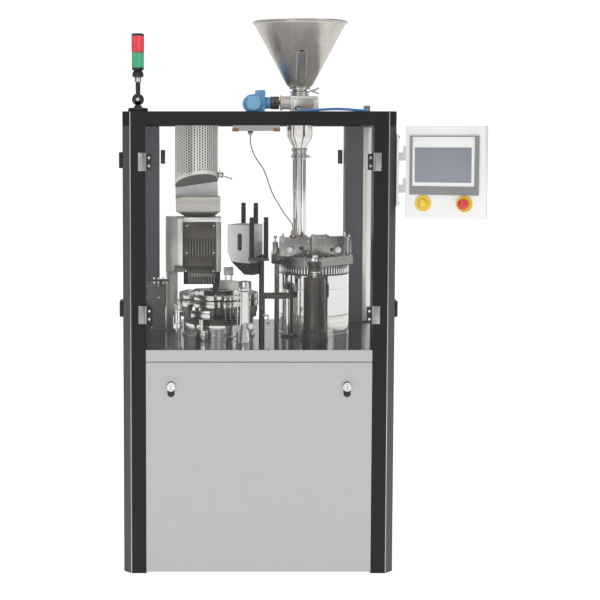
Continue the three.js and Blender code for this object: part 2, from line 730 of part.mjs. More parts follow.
function closingColumn() {
  const column = turned([
    [0, 0], [28, 0], [20, 92], [20, 204], [25.5, 206], [25.5, 242], [22, 245], [0, 245],
  ], MEDIUM_ROUND);
  const arm = raised([
    [12, 18], [-10, 62], [-44, 98], [-84, 118], [-96, 92], [-62, 70], [-36, 40], [-16, 2],
  ], 202, 236);
  return join(column, arm);
}

add(closing, 'closing_column', closingColumn(), 'polished');

// ---- Suction duct that clears the empty segments ---------------------------------------------

const suction = group(machine, ...SUCTION, TABLE_TOP + GAP);

function suctionDuct() {
  const taper = hull([-1, 1].flatMap((sx) => [-1, 1].flatMap((sy) => [
    [sx * 54, sy * 40, 128], [sx * 26, sy * 26, 94],
  ])));
  return join(
    box(-26, 26, -26, 26, 0, 95),
    taper,
    box(-54, 54, -40, 40, 127, 195),
    box(-36, 36, -30, 30, 0, 8),
  );
}

add(suction, 'suction_duct', suctionDuct(), 'brushed');

// ---- Pellet hopper on its stand ---------------------------------------------------------------

const pellets = group(machine, ...PELLETS, 0, PELLET_YAW);
const PELLET_WIDTH = 100;
const PELLET_DEPTH = 110;
const PELLET_TOP = 1299;

function pelletShell(inset, extra) {
  const points = [];
  for (const y of [inset, PELLET_DEPTH - inset]) {
    points.push([inset, y, PELLET_TOP + extra], [PELLET_WIDTH - inset, y, PELLET_TOP + extra]);
    points.push([inset, y, 1191], [17 + inset, y, 1151 + inset], [PELLET_WIDTH - inset, y, 1147]);
  }
  for (const x of [60 + inset, PELLET_WIDTH - inset]) {
    for (const y of [30 + inset, 80 - inset]) {
      points.push([x, y, 1098 - extra]);
    }
  }
  return hull(points);
}

function pelletHopper() {
  const stand = box(PELLET_WIDTH + 13, PELLET_WIDTH + 31, 51, 69, TABLE_TOP + GAP, 1200);
  const bracket = box(PELLET_WIDTH - 4, PELLET_WIDTH + 14, 51, 69, 1170, 1200);
  return cut(join(pelletShell(0, 0), stand, bracket), pelletShell(2, 1));
}

add(pellets, 'pellet_hopper', pelletHopper(), 'brushed');

// ---- Dosing station: heights are above the table ----------------------------------------------

const dosing = group(machine, ...DOSING, TABLE_TOP + GAP);
const FRONT_COLUMN = [-14, -204];
const REAR_COLUMNS = [[-140, 112], [132, 112]];
const PLATE_LOW = 284;
const PLATE_HIGH = 320;
const RING_TEETH = 32;
const GUIDES = [[40, -84], [90, -84]];
const GUIDE_RADIUS = 9;

function dosingDrum() {
  const r = DOSING_RADIUS;
  return turned([
    [0, 0], [r + 2, 0], [r + 2, 6], [r, 8], [r, 80], [r - 1.5, 81], [r, 82], [r, 188],
    [r - 1.5, 189], [r, 190], [r, 244], [r - 4, 247], [0, 247],
  ], ROUND);
}

// The dosing disc: a toothed rim and a shallow powder bowl.
function dosingRing() {
  const outline = [];
  for (let i = 0; i < RING_TEETH; i += 1) {
    for (const [share, radius] of [[0, 0], [0.5, 0], [0.5, 5], [1, 5]]) {
      const angle = ((i + share) * 2 * Math.PI) / RING_TEETH;
      const r = DOSING_RADIUS - radius;
      outline.push([r * Math.cos(angle), r * Math.sin(angle)]);
    }
  }
  return cut(raised(outline, 248, 281), rod(112, 262, 283, 0, 0, ROUND));
}

function dosingColumn() {
  const [x, y] = FRONT_COLUMN;
  return turned([
    [0, 0], [55, 0], [55, 38], [43, 66], [43, 246], [19, 247], [19, 268], [27, 269], [27, 311],
    [36, 312], [36, 322], [12, 324], [12, 334], [0, 334],
  ], ROUND).translate(x, y, 0);
}

function tampingPlate() {
  const outline = [
    [-176, -40], [-54, -178], [26, -178], [153, -50], [160, 136], [-168, 136],
  ];
  const pieces = [
    raised(outline, PLATE_LOW, PLATE_HIGH),
    box(-145, -22, -119, -49, PLATE_HIGH - 1, 394),
    box(-170, -148, -40, 0, PLATE_HIGH - 1, 371),
    box(120, 148, -30, 10, PLATE_HIGH - 1, 384),
  ];
  for (const [x, y] of REAR_COLUMNS) {
    pieces.push(rod(16, 0, PLATE_LOW + 1, x, y));
  }
  const [columnX, columnY] = FRONT_COLUMN;
  const feedX = FEEDER[0] - DOSING[0];
  const feedY = FEEDER[1] - DOSING[1];
  const holes = [
    rod(37, PLATE_LOW - 1, PLATE_HIGH + 1, columnX, columnY, ROUND),
    rod(TUBE_RADIUS + 1, PLATE_LOW - 1, PLATE_HIGH + 1, feedX, feedY, MEDIUM_ROUND),
  ];
  for (const [x, y] of GUIDES) {
    holes.push(rod(GUIDE_RADIUS + 1, PLATE_LOW - 1, PLATE_HIGH + 1, x, y));
  }
  return cut(join(...pieces), ...holes);
}

// The crosshead that carries the tamping pins, with the guide rods that drive it.
function tampingCrosshead() {
  const pieces = [
    box(-21, 115, -119, -49, PLATE_HIGH + GAP, 398),
    box(-20, 52, -121, -60, 392, 404),
  ];
  for (const [x, y] of GUIDES) {
    pieces.push(rod(GUIDE_RADIUS, PLATE_LOW + 1, PLATE_HIGH + 2, x, y));
  }
  return join(...pieces);
}

function levelSensor() {
  return turned([[0, 0], [15, 0], [15, 8], [11, 9], [11, 22], [5, 24], [5, 30], [0, 30]], 12);
}

const SENSOR = [-92, -94];
const SENSOR_BASE = 394.3;

add(dosing, 'dosing_drum', dosingDrum(), 'polished');
add(dosing, 'dosing_ring', dosingRing(), 'brushed');
add(dosing, 'dosing_column', dosingColumn(), 'darkSteel');
add(dosing, 'tamping_plate', tampingPlate(), 'darkSteel');
add(dosing, 'tamping_crosshead', tampingCrosshead(), 'brushed');
add(dosing, 'level_sensor', levelSensor(), 'darkSteel', ...SENSOR, SENSOR_BASE);

// ---- Cable and hose: routes of [x, y, z] points ------------------------------------------------

const SENSOR_ROUTE = [
  [-19, 30, 1654.6], [-19, 30, 1636], [-15, 29, 1608], [-3, 25, 1574], [14, 19, 1546],
  [31, 13, 1522], [47, 5, 1484], [60, -4, 1444], [75, -14, 1408], [92, -24, 1380],
  [108, -32, 1352], [124, -40, 1330], [138, -46, 1312], [147, -49, 1296], [150, -50, 1277.5],
];

const HOSE_ROUTE = [
  [165, -6.4, 1762], [165, -24, 1762], [166, -50, 1759], [169, -85, 1754], [175, -125, 1750],
  [186, -170, 1748.6], [204, -215, 1749], [230, -252, 1751], [264, -277, 1753], [302, -286, 1754],
  [340, -280, 1752.5], [374, -262, 1750], [402, -236, 1749], [420, -205, 1751], [429, -178, 1755],
  [430, -163, 1756], [430, -150.4, 1756],
];

add(machine, 'sensor_cable', tube(SENSOR_ROUTE, 2.25, 8, 36), 'black');
add(machine, 'air_hose', tube(HOSE_ROUTE, HOSE_RADIUS, 8, 32), 'blue');

// ---- Drive in the lower compartment -------------------------------------------------------------

function driveMotor() {
  return join(
    box(252, 372, -70, 70, SHAFT_HEIGHT - 80, SHAFT_HEIGHT + 80),
    rodY(70, 69, 270, 312, SHAFT_HEIGHT, MEDIUM_ROUND),
    box(282, 342, -50, 50, 100, SHAFT_HEIGHT - 79),
    box(262, 332, -60, 60, 8.3, 101),
  );
}

function indexGearbox() {
  const [x, y] = TURRET;
  const top = TABLE_TOP - TABLE_THICKNESS - GAP;
  return join(
    box(x - 100, x + 100, y - 100, y + 100, top - 130, top),
    rod(60, top - 150, top - 129, x, y, MEDIUM_ROUND),
  );
}

// The main shaft with its cams, along x.
function mainShaft() {
  const pieces = [rodX(SHAFT_RADIUS, -372, 251.5, 0, SHAFT_HEIGHT, MEDIUM_ROUND)];
  const cams = [[-300, 62], [-210, 74], [-60, 58], [40, 70], [150, 64]];
  for (const [x, radius] of cams) {
    pieces.push(rodX(radius, x - 11, x + 11, 6, SHAFT_HEIGHT + 4, MEDIUM_ROUND));
  }
  return join(...pieces);
}

add(machine, 'drive_motor', driveMotor(), 'blue');
add(machine, 'index_gearbox', indexGearbox(), 'castIron');
add(machine, 'main_shaft', mainShaft(), 'darkSteel');

export default machine;
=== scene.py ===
# %% [markdown]
# A capsule filling machine is a glazed steel cabinet with bright turned stations inside it. The frame
# holds the working model, in metres, so every piece below takes its place from the frame's own boxes.

# %% Load the frame
import json
import math

import bmesh
import bpy
from mathutils import Matrix, Vector


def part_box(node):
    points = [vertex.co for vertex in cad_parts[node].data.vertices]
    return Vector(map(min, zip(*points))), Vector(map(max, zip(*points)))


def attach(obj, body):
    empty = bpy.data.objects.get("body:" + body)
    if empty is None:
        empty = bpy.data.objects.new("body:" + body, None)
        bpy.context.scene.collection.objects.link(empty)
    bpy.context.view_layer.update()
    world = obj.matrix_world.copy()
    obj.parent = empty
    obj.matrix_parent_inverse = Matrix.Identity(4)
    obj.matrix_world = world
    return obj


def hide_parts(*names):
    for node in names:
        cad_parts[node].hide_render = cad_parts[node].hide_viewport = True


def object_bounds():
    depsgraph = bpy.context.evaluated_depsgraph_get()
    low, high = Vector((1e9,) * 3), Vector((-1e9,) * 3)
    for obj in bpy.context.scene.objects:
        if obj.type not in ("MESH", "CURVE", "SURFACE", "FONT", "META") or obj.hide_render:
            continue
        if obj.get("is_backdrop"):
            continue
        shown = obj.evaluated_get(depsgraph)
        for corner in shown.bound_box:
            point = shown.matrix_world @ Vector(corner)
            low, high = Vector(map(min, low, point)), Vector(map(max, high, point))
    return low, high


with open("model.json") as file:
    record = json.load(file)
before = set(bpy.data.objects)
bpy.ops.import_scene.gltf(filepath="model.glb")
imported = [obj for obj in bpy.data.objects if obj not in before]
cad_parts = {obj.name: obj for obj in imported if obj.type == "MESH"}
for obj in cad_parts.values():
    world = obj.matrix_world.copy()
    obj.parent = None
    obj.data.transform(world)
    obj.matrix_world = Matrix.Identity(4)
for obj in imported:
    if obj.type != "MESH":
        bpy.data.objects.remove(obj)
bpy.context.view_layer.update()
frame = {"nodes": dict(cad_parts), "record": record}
MM = 0.001
TO_MM = 1 / MM
scene = bpy.context.scene


def middle(node):
    low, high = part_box(node)
    return (Vector(low) + Vector(high)) / 2


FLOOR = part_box("base_frame")[0][2]
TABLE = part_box("table_plate")[1][2]
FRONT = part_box("top_frame")[0][1]
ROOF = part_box("top_frame")[1][2]

# %% [markdown]
# The camera stands a little left of the machine, five metres away and near the top of the doors, with a
# long lens, so that upright edges stay almost upright. A lens shift and a slight downward tilt share the
# framing, which keeps the shift small enough for views from other sides.

# %% Camera
CAMERA_DISTANCE = 5.062
CAMERA_TILT = 4.2
camera_data = bpy.data.cameras.new("camera")
camera_data.lens = 81.9
camera_data.sensor_width = 36.0
camera_data.shift_x = 0.1608
camera_data.shift_y = -0.1105
camera = bpy.data.objects.new("camera", camera_data)
scene.collection.objects.link(camera)
camera.location = (-0.208, FRONT - CAMERA_DISTANCE, 1.661)
camera.rotation_euler = (math.radians(90 - CAMERA_TILT), 0, 0)
scene.camera = camera
print("camera at", tuple(round(v, 3) for v in camera.location))

# %% [markdown]
# A cord is one smooth line through given points. The curve below is a centripetal Catmull-Rom,
# which passes through every point and never loops between close ones.


# %% Cord routes
def smooth_route(points, per_span=8):
    points = [Vector(p) * MM for p in points]
    ends = [points[0] * 2 - points[1], points[-1] * 2 - points[-2]]
    whole = [ends[0], *points, ends[1]]
    route = []
    for p0, p1, p2, p3 in zip(whole, whole[1:], whole[2:], whole[3:]):
        t1 = (p1 - p0).length ** 0.5
        t2 = t1 + (p2 - p1).length ** 0.5
        t3 = t2 + (p3 - p2).length ** 0.5
        for step in range(per_span):
            t = t1 + (t2 - t1) * step / per_span
            a1 = p0.lerp(p1, t / t1)
            a2 = p1.lerp(p2, (t - t1) / (t2 - t1))
            a3 = p2.lerp(p3, (t - t2) / (t3 - t2))
            b1 = a1.lerp(a2, t / t2)
            b2 = a2.lerp(a3, (t - t1) / (t3 - t1))
            route.append(b1.lerp(b2, (t - t1) / (t2 - t1)))
    return route + [points[-1]]


SENSOR_ROUTE = [
    [-19, 30, 1654.6], [-19, 30, 1636], [-15, 29, 1608], [-3, 25, 1574], [14, 19, 1546],
    [31, 13, 1522], [47, 5, 1484], [60, -4, 1444], [75, -14, 1408], [92, -24, 1380],
    [108, -32, 1352], [124, -40, 1330], [138, -46, 1312], [147, -49, 1296], [150, -50, 1277.5],
]
HOSE_ROUTE = [
    [165, -6.4, 1762], [165, -24, 1762], [166, -50, 1759], [169, -85, 1754], [175, -125, 1750],
    [186, -170, 1748.6], [204, -215, 1749], [230, -252, 1751], [264, -277, 1753], [302, -286, 1754],
    [340, -280, 1752.5], [374, -262, 1750], [402, -236, 1749], [420, -205, 1751], [429, -178, 1755],
    [430, -163, 1756], [430, -150.4, 1756],
]


def cord_curve(name, points, radius):
    route = smooth_route(points)
    curve = bpy.data.curves.new(name, "CURVE")
    curve.dimensions = "3D"
    curve.bevel_depth = radius
    curve.bevel_resolution = 4
    curve.use_fill_caps = True
    spline = curve.splines.new("POLY")
    spline.points.add(len(route) - 1)
    for point, place in zip(spline.points, route):
        point.co = (*place, 1)
    made = bpy.data.objects.new(name, curve)
    scene.collection.objects.link(made)
    length = sum((b - a).length for a, b in zip(route, route[1:]))
    print(name, "is", round(length, 3), "m long")
    return made, route[0], length


# %% [markdown]
# Every colour is written as an sRGB hex value and turned to linear light by one function. One small
# helper adds a shader node, sets it up and links it.


# %% Material helpers
def linear(code):
    channels = [int(code[i : i + 2], 16) / 255 for i in (1, 3, 5)]
    return [c / 12.92 if c <= 0.04045 else ((c + 0.055) / 1.055) ** 2.4 for c in channels] + [1.0]


def add_node(tree, kind, inputs=None, **settings):
    made = tree.nodes.new(kind)
    for key, value in settings.items():
        setattr(made, key, value)
    for key, value in (inputs or {}).items():
        if isinstance(value, bpy.types.NodeSocket):
            tree.links.new(value, made.inputs[key])
        else:
            made.inputs[key].default_value = value
    return made


SOCKET_NAMES = {"specular_ior_level": "Specular IOR Level"}


def new_material(name, colour, metallic, roughness, **sockets):
    material = bpy.data.materials.new(name)
    material.use_nodes = True
    shader = material.node_tree.nodes["Principled BSDF"]
    shader.inputs["Base Color"].default_value = linear(colour)
    shader.inputs["Metallic"].default_value = metallic
    shader.inputs["Roughness"].default_value = roughness
    for key, value in sockets.items():
        shader.inputs[SOCKET_NAMES.get(key, key.replace("_", " ").title())].default_value = value
    return material


# A pattern of fine grain: stretch is how the grain's cells are drawn out along x, y and z.
def grain(material, size, stretch=(1, 1, 1), bump=0.1, rough=(0.3, 0.4), tint=None, detail=3.0):
    tree = material.node_tree
    shader = tree.nodes["Principled BSDF"]
    place = add_node(tree, "ShaderNodeTexCoord")
    turn = add_node(
        tree, "ShaderNodeMapping", {"Vector": place.outputs["Object"], "Scale": [1 / s for s in stretch]}
    )
    noise = add_node(
        tree,
        "ShaderNodeTexNoise",
        {"Vector": turn.outputs["Vector"], "Scale": 1 / size, "Detail": detail, "Roughness": 0.6},
    )
    spread = add_node(
        tree, "ShaderNodeMapRange",
        {
            "Value": noise.outputs["Fac"], "From Min": 0.3, "From Max": 0.7, "To Min": rough[0],
            "To Max": rough[1],
        },
    )
    tree.links.new(spread.outputs["Result"], shader.inputs["Roughness"])
    raised = add_node(
        tree,
        "ShaderNodeBump",
        {"Height": noise.outputs["Fac"], "Strength": bump, "Distance": size * 0.3},
    )
    tree.links.new(raised.outputs["Normal"], shader.inputs["Normal"])
    if tint:
        wide = add_node(
            tree,
            "ShaderNodeTexNoise",
            {"Vector": turn.outputs["Vector"], "Scale": 1 / (size * 14), "Detail": 2.0},
        )
        ramp = add_node(tree, "ShaderNodeValToRGB", {"Fac": wide.outputs["Fac"]})
        ramp.color_ramp.elements[0].position = 0.3
        ramp.color_ramp.elements[1].position = 0.7
        ramp.color_ramp.elements[0].color = linear(tint[0])
        ramp.color_ramp.elements[1].color = linear(tint[1])
        tree.links.new(ramp.outputs["Color"], shader.inputs["Base Color"])
    return material


# %% [markdown]
# The posts and beam are steel with a black polyester powder coat, baked on. It has the fine orange peel
# that powder leaves, which breaks up the highlight. Its grit of about a millimetre is drawn at 2 mm.

# %% Painted finishes
BLACK_POWDER = grain(
    new_material("black_powder_coat", "#161616", 0.0, 0.5, specular_ior_level=0.3),
    0.002, bump=0.01, rough=(0.46, 0.5), tint=("#151616", "#171717"),
)
# The same black coat on the rear posts, painted grey for the haze of light from the glass and the lit
# chamber before it.
HAZE_LIT_BLACK_POWDER = grain(
    new_material("black_powder_coat_painted_haze", "#4d4c54", 0.0, 0.5, specular_ior_level=0.3),
    0.002, bump=0.0, rough=(0.46, 0.5), tint=("#4c4b53", "#4f4e56"),
)
# Satin enamel sprayed on folded sheet.
GREY_ENAMEL = grain(
    new_material("grey_satin_enamel", "#bdbcbb", 0.0, 0.4),
    0.003, bump=0.01, rough=(0.38, 0.44), tint=("#bcbbba", "#bebdbc"),
)
# Satin enamel sprayed on the panel's sheet and baked.
WHITE_ENAMEL = grain(
    new_material("white_satin_enamel", "#f1f1ef", 0.0, 0.35, coat_weight=0.2, coat_roughness=0.2),
    0.003, bump=0.01, rough=(0.3, 0.38), tint=("#f0f0ee", "#f3f3f1"),
)
# Enamel sprayed on a sand casting, which keeps some of the sand's texture.
BLUE_ENAMEL = grain(
    new_material("blue_casting_enamel", "#62abe0", 0.0, 0.4, coat_weight=0.3, coat_roughness=0.2),
    0.004, bump=0.05, rough=(0.32, 0.45), tint=("#5ea7dc", "#68b0e4"),
)
# Thin machine paint on rough cast iron.
CAST_GREY = grain(
    new_material("painted_cast_iron", "#565b5f", 0.0, 0.6), 0.004, bump=0.5, rough=(0.5, 0.7),
    tint=("#50555a", "#5e6368"),
)
print("painted finishes made")

# %% [markdown]
# The stations are stainless steel. Mirror polish keeps a faint cloudiness, turned pieces keep rings from
# the lathe, and sheet pieces keep the straight lines of a brushing belt. Brushing lines are a tenth of a
# millimetre apart on real sheet and are drawn at about 1 mm, or they would not show.

# %% Steel finishes
MIRROR_STEEL = grain(
    new_material("mirror_polished_stainless", "#d9d8d5", 1.0, 0.06), 0.03, bump=0.01, rough=(0.04, 0.09),
    tint=("#d4d3d0", "#dedddb"),
)
# The table is polished sheet, drawn darker than the turned pieces because it mirrors a dim chamber.
TABLE_STEEL = grain(
    new_material("mirror_table_stainless", "#5d5d62", 1.0, 0.1), 0.03, bump=0.0, rough=(0.07, 0.13),
    tint=("#5a5a5f", "#626267"),
)
TURNED_STEEL = grain(
    new_material("turned_stainless", "#d3d1cc", 1.0, 0.16), 0.0012, (30, 30, 1), 0.05, (0.1, 0.2),
    tint=("#c9c6c0", "#dcdad6"),
)
BRUSHED_UPRIGHT = grain(
    new_material("brushed_stainless_upright", "#bdb8b2", 1.0, 0.32), 0.001, (1, 1, 60), 0.03, (0.26, 0.4),
    tint=("#b5b0aa", "#c5c1bb"),
)
# Punched sheet is tumbled to take off the burrs, which leaves a pale even sheen.
PUNCHED_SHEET = grain(
    new_material("punched_stainless_sheet", "#f0ede8", 0.6, 0.3), 0.004, (1, 1, 8), 0.0, (0.27, 0.32),
    tint=("#eeebe6", "#f2efea"),
)
# Electropolishing takes the peaks off the grain, so the sheet is pale and has no lines.
ELECTROPOLISHED = grain(
    new_material("electropolished_stainless", "#eeece9", 0.45, 0.25), 0.004, bump=0.0, rough=(0.22, 0.27),
    tint=("#edebe8", "#f0eeeb"),
)
# The same brushing belt, run along the length of level pieces.
BRUSHED_LEVEL = grain(
    new_material("brushed_stainless_level", "#bab6b0", 1.0, 0.3), 0.001, (60, 60, 1), 0.06, (0.24, 0.36),
    tint=("#b0aca6", "#c4c0ba"),
)
# Plate off a surface grinder: its lines are too fine to show and leave a grey sheen.
GROUND_STEEL = grain(
    new_material("grey_ground_steel", "#94928f", 1.0, 0.26), 0.006, (1, 1, 6), 0.0, (0.25, 0.28),
    tint=("#93918e", "#969491"),
)
# Bead-blasted plate, which is even and pale grey.
CASE_STEEL = grain(
    new_material("satin_steel_case", "#a8a49f", 1.0, 0.3), 0.006, (1, 1, 6), 0.0, (0.29, 0.32),
    tint=("#a6a29d", "#aba7a2"),
)
# A paler strip beside the right edge of each milled slot: a painted highlight.
SLOT_EDGE_HIGHLIGHT = grain(
    new_material("slot_edge_painted_highlight", "#8f8882", 1.0, 0.35), 0.004, bump=0.0, rough=(0.3, 0.4)
)
# Chromed castings drawn a dull grey: painted shade on the chrome.
SHADED_CHROME_GREY = grain(
    new_material("chrome_grey_painted_shade", "#a09f9e", 1.0, 0.38), 0.003, (1, 1, 10), 0.0, (0.34, 0.42),
    tint=("#989796", "#a8a7a6"),
)
# Plain sheet drawn a dark brown grey as painted shade: the floor deep in the capsule drum and the folded
# suction duct.
SHADE_DARK_SHEET = grain(
    new_material("dark_sheet_painted_shade", "#6a6461", 0.2, 0.55), 0.006, bump=0.0, rough=(0.5, 0.58),
    tint=("#686260", "#6d6764"),
)
# Hardened steel, ground along its length and oiled.
DARK_STEEL = grain(
    new_material("dark_satin_steel", "#75706b", 1.0, 0.32), 0.001, (1, 1, 40), 0.03, (0.24, 0.38),
    tint=("#6e6964", "#7d7873"),
)
# Steel browned in a hot oxide bath after grinding.
BROWN_STEEL = grain(
    new_material("browned_steel", "#4c4642", 1.0, 0.28), 0.006, (1, 1, 6), 0.0, (0.27, 0.29),
    tint=("#4b4541", "#4e4743"),
)
print("steel finishes made")

# %% [markdown]
# Doors are clear toughened glass, thin and flat, so light goes straight through them, with a faint green
# body colour and a sharp gloss. The capsule window is acrylic that has gone milky. Moulded plastics keep
# the skin of their mould, and extruded ones the fine lines of the die.

# %% Clear and moulded finishes
CLEAR_GLASS = new_material("clear_toughened_glass", "#dfe8e6", 0.0, 0.02, alpha=0.025)
# Cast acrylic sheet that cleaning has made milky.
MILKY_ACRYLIC = new_material("milky_acrylic_sheet", "#eceff1", 0.0, 0.08, alpha=0.75)
# A black oxide bath leaves steel matt and nearly without reflections. The same near-black is also painted
# shade in the magazine's slot recesses and behind its comb.
BLACK_OXIDE_AND_SHADE = grain(
    new_material("matt_black_oxide_and_painted_shade", "#101011", 0.0, 0.6, specular_ior_level=0.2), 0.003, bump=0.0,
    rough=(0.56, 0.64),
)
BLACK_MOULDED = grain(
    new_material("black_moulded_polyamide", "#1d1d1e", 0.0, 0.5), 0.001, bump=0.15, rough=(0.42, 0.58)
)
# Nylon is slightly translucent, so a little light passes under its skin.
WHITE_MOULDED = grain(
    new_material("white_moulded_nylon", "#f4f3f0", 0.0, 0.4, subsurface_weight=0.05), 0.001, bump=0.05,
    rough=(0.32, 0.45),
)
GREY_MOULDED = grain(
    new_material("grey_moulded_abs", "#8b8b8b", 0.0, 0.5), 0.0008, bump=0.02, rough=(0.42, 0.55),
    tint=("#898989", "#8d8d8d"),
)
# Tinted polycarbonate from a polished mould.
RED_LENS = grain(
    new_material("red_polycarbonate_lens", "#ea3e48", 0.0, 0.2, coat_weight=0.5, subsurface_weight=0.2),
    0.002, bump=0.01, rough=(0.16, 0.26), tint=("#e83a44", "#ec444e"),
)
# The same moulding in green.
GREEN_LENS = grain(
    new_material("green_polycarbonate_lens", "#3fae7f", 0.0, 0.2, coat_weight=0.5, subsurface_weight=0.2),
    0.002, bump=0.01, rough=(0.16, 0.26), tint=("#3caa7b", "#45b486"),
)
# Glossy ABS from a polished mould.
RED_BUTTON = grain(
    new_material("red_glossy_abs", "#d23a34", 0.0, 0.25, coat_weight=0.4), 0.001, bump=0.02, rough=(0.2, 0.3)
)
# Glossy ABS, a little duller.
YELLOW_MOULDED = grain(
    new_material("yellow_glossy_abs", "#e9c93a", 0.0, 0.35, coat_weight=0.2), 0.001, bump=0.05,
    rough=(0.28, 0.4), tint=("#e4c232", "#efd24a"),
)
BLUE_HOSE = grain(
    new_material("blue_polyurethane_tube", "#2f86d6", 0.0, 0.3, coat_weight=0.3), 0.004, bump=0.02,
    rough=(0.25, 0.35), tint=("#2a7ccb", "#3b93e0"),
)
CABLE_SHEATH = grain(
    new_material("grey_pvc_sheath", "#55565a", 0.0, 0.5), 0.001, bump=0.08, rough=(0.42, 0.56)
)
# A display that is off, under an etched cover that scatters what it reflects.
SCREEN_GLASS = grain(
    new_material("switched_off_display", "#8d919c", 0.0, 0.4),
    0.03, bump=0.0, rough=(0.36, 0.44), tint=("#868a96", "#979ba5"),
)
print("clear and moulded finishes made")

# %% [markdown]
# The hose and the cable are made first, because their routes decide how far the model spreads.

# %% Hose and cable
# Radii and diameters of both cords are in metres, as the frame wants them.
hose, hose_exit, hose_length = cord_curve("roof_air_hose", HOSE_ROUTE, 0.005)
hose.data.materials.append(BLUE_HOSE)
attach(hose, "cabinet")
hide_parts("air_hose")

cable, cable_exit, cable_length = cord_curve("level_sensor_cable", SENSOR_ROUTE, 0.00225)
cable.data.materials.append(CABLE_SHEATH)
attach(cable, "cabinet")
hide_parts("sensor_cable")

# %% [markdown]
# Every part of the working model that stays in view gets its real finish in its own material slots.

# %% Finishes for the frame's own parts
FINISHES = {
    "black_paint": BLACK_POWDER,
    "grey_paint": GREY_ENAMEL,
    "white_paint": WHITE_ENAMEL,
    "polished_steel": MIRROR_STEEL,
    "brushed_steel": BRUSHED_UPRIGHT,
    "dark_steel": DARK_STEEL,
    "black_plastic": BLACK_MOULDED,
    "clear_glass": CLEAR_GLASS,
    "clear_acrylic": MILKY_ACRYLIC,
    "red_plastic": RED_BUTTON,
    "green_plastic": GREEN_LENS,
    "yellow_plastic": YELLOW_MOULDED,
    "blue_paint": BLUE_ENAMEL,
    "blue_hose": BLUE_HOSE,
    "grey_plastic": GREY_MOULDED,
    "cast_iron": CAST_GREY,
    "cable_grey": CABLE_SHEATH,
}
for subpart in frame["record"]["subparts"]:
    cad = frame["nodes"][subpart["node"]]
    cad.data.materials.clear()
    cad.data.materials.append(FINISHES[subpart["material_slot"]])
frame["nodes"]["table_plate"].data.materials[0] = TABLE_STEEL
# The rear posts take the black coat painted grey as haze of light.
for post_node in ("post_rear_left", "post_rear_right"):
    frame["nodes"][post_node].data.materials[0] = HAZE_LIT_BLACK_POWDER

# %% [markdown]
# The fine pieces are built as meshes in millimetres and then brought to metres. Four small makers cover
# most of them: a turned shape, a block with broken edges, a raised outline and a round bar.


# %% Piece makers
def facing(direction, x=0.0, y=0.0, z=0.0):
    turn = Vector(direction).to_track_quat("Z", "Y").to_matrix().to_4x4()
    return Matrix.Translation((x, y, z)) @ turn


def upright(x=0.0, y=0.0, z=0.0, yaw=0.0):
    return Matrix.Translation((x, y, z)) @ Matrix.Rotation(math.radians(yaw), 4, "Z")


# A profile of (radius, height) points turned about z. It ends on the axis or closes on itself.
def turned(bm, profile, place, sides=96):
    closed = profile[0] == profile[-1]
    rings = []
    for radius, height in profile[:-1] if closed else profile:
        if radius == 0:
            rings.append([bm.verts.new(place @ Vector((0, 0, height)))])
            continue
        ring = []
        for i in range(sides):
            angle = 2 * math.pi * i / sides
            x, y = radius * math.cos(angle), radius * math.sin(angle)
            ring.append(bm.verts.new(place @ Vector((x, y, height))))
        rings.append(ring)
    pairs = list(zip(rings, rings[1:])) + ([(rings[-1], rings[0])] if closed else [])
    for low_ring, high_ring in pairs:
        for i in range(sides):
            j = (i + 1) % sides
            corners = [low_ring[i % len(low_ring)], low_ring[j % len(low_ring)]]
            corners += [high_ring[j % len(high_ring)], high_ring[i % len(high_ring)]]
            bm.faces.new(list(dict.fromkeys(corners)))


def soften(bm, verts, amount):
    if amount > 0:
        edges = list({edge for vert in verts for edge in vert.link_edges})
        edges = [e for e in edges if e.calc_face_angle(0) > 0.4]
        bmesh.ops.bevel(bm, geom=edges, offset=amount, segments=2, profile=0.5, affect="EDGES")


def block(bm, low, high, edge=1.0, place=Matrix.Identity(4)):
    low, high = Vector(low), Vector(high)
    size = high - low
    fit = place @ Matrix.Translation((low + high) / 2) @ Matrix.Diagonal((*size, 1))
    made = bmesh.ops.create_cube(bm, size=1, matrix=fit)
    soften(bm, made["verts"], min(edge, min(size) * 0.4))


# Faces between neighbouring rows of vertices, each row running round its piece.
def stitch(bm, rows, looped=False):
    for lower, upper in zip(rows, rows[1:] + (rows[:1] if looped else [])):
        for i in range(len(lower)):
            j = (i + 1) % len(lower)
            bm.faces.new((lower[i], lower[j], upper[j], upper[i]))


def raised(bm, outline, low, high, edge=1.0, place=Matrix.Identity(4)):
    bottom = [bm.verts.new(place @ Vector((x, y, low))) for x, y in outline]
    top = [bm.verts.new(place @ Vector((x, y, high))) for x, y in outline]
    bm.faces.new(bottom[::-1])
    bm.faces.new(top)
    stitch(bm, [bottom, top])
    soften(bm, bottom + top, edge)


def bar(bm, start, end, radius, sides=32, edge=0.6):
    start, end = Vector(start), Vector(end)
    length = (end - start).length
    edge = min(edge, radius * 0.5, length * 0.4)
    profile = [
        (0, 0), (radius - edge, 0), (radius, edge), (radius, length - edge), (radius - edge, length),
        (0, length),
    ]
    turned(bm, profile, facing(end - start, *start), sides)


def ball(bm, centre, radius, sides=32):
    steps = sides // 2
    angles = [math.pi * i / steps for i in range(steps + 1)]
    profile = [(radius * math.sin(a), -radius * math.cos(a)) for a in angles]
    profile[0] = (0, -radius)
    profile[-1] = (0, radius)
    turned(bm, profile, Matrix.Translation(centre), sides)


def obround(width, length, steps=10):
    radius = width / 2
    reach = length / 2 - radius
    outline = []
    for i in range(steps + 1):
        angle = math.pi * i / steps
        outline.append((radius * math.cos(angle), reach + radius * math.sin(angle)))
    for i in range(steps + 1):
        angle = math.pi * (1 + i / steps)
        outline.append((radius * math.cos(angle), -reach + radius * math.sin(angle)))
    return outline


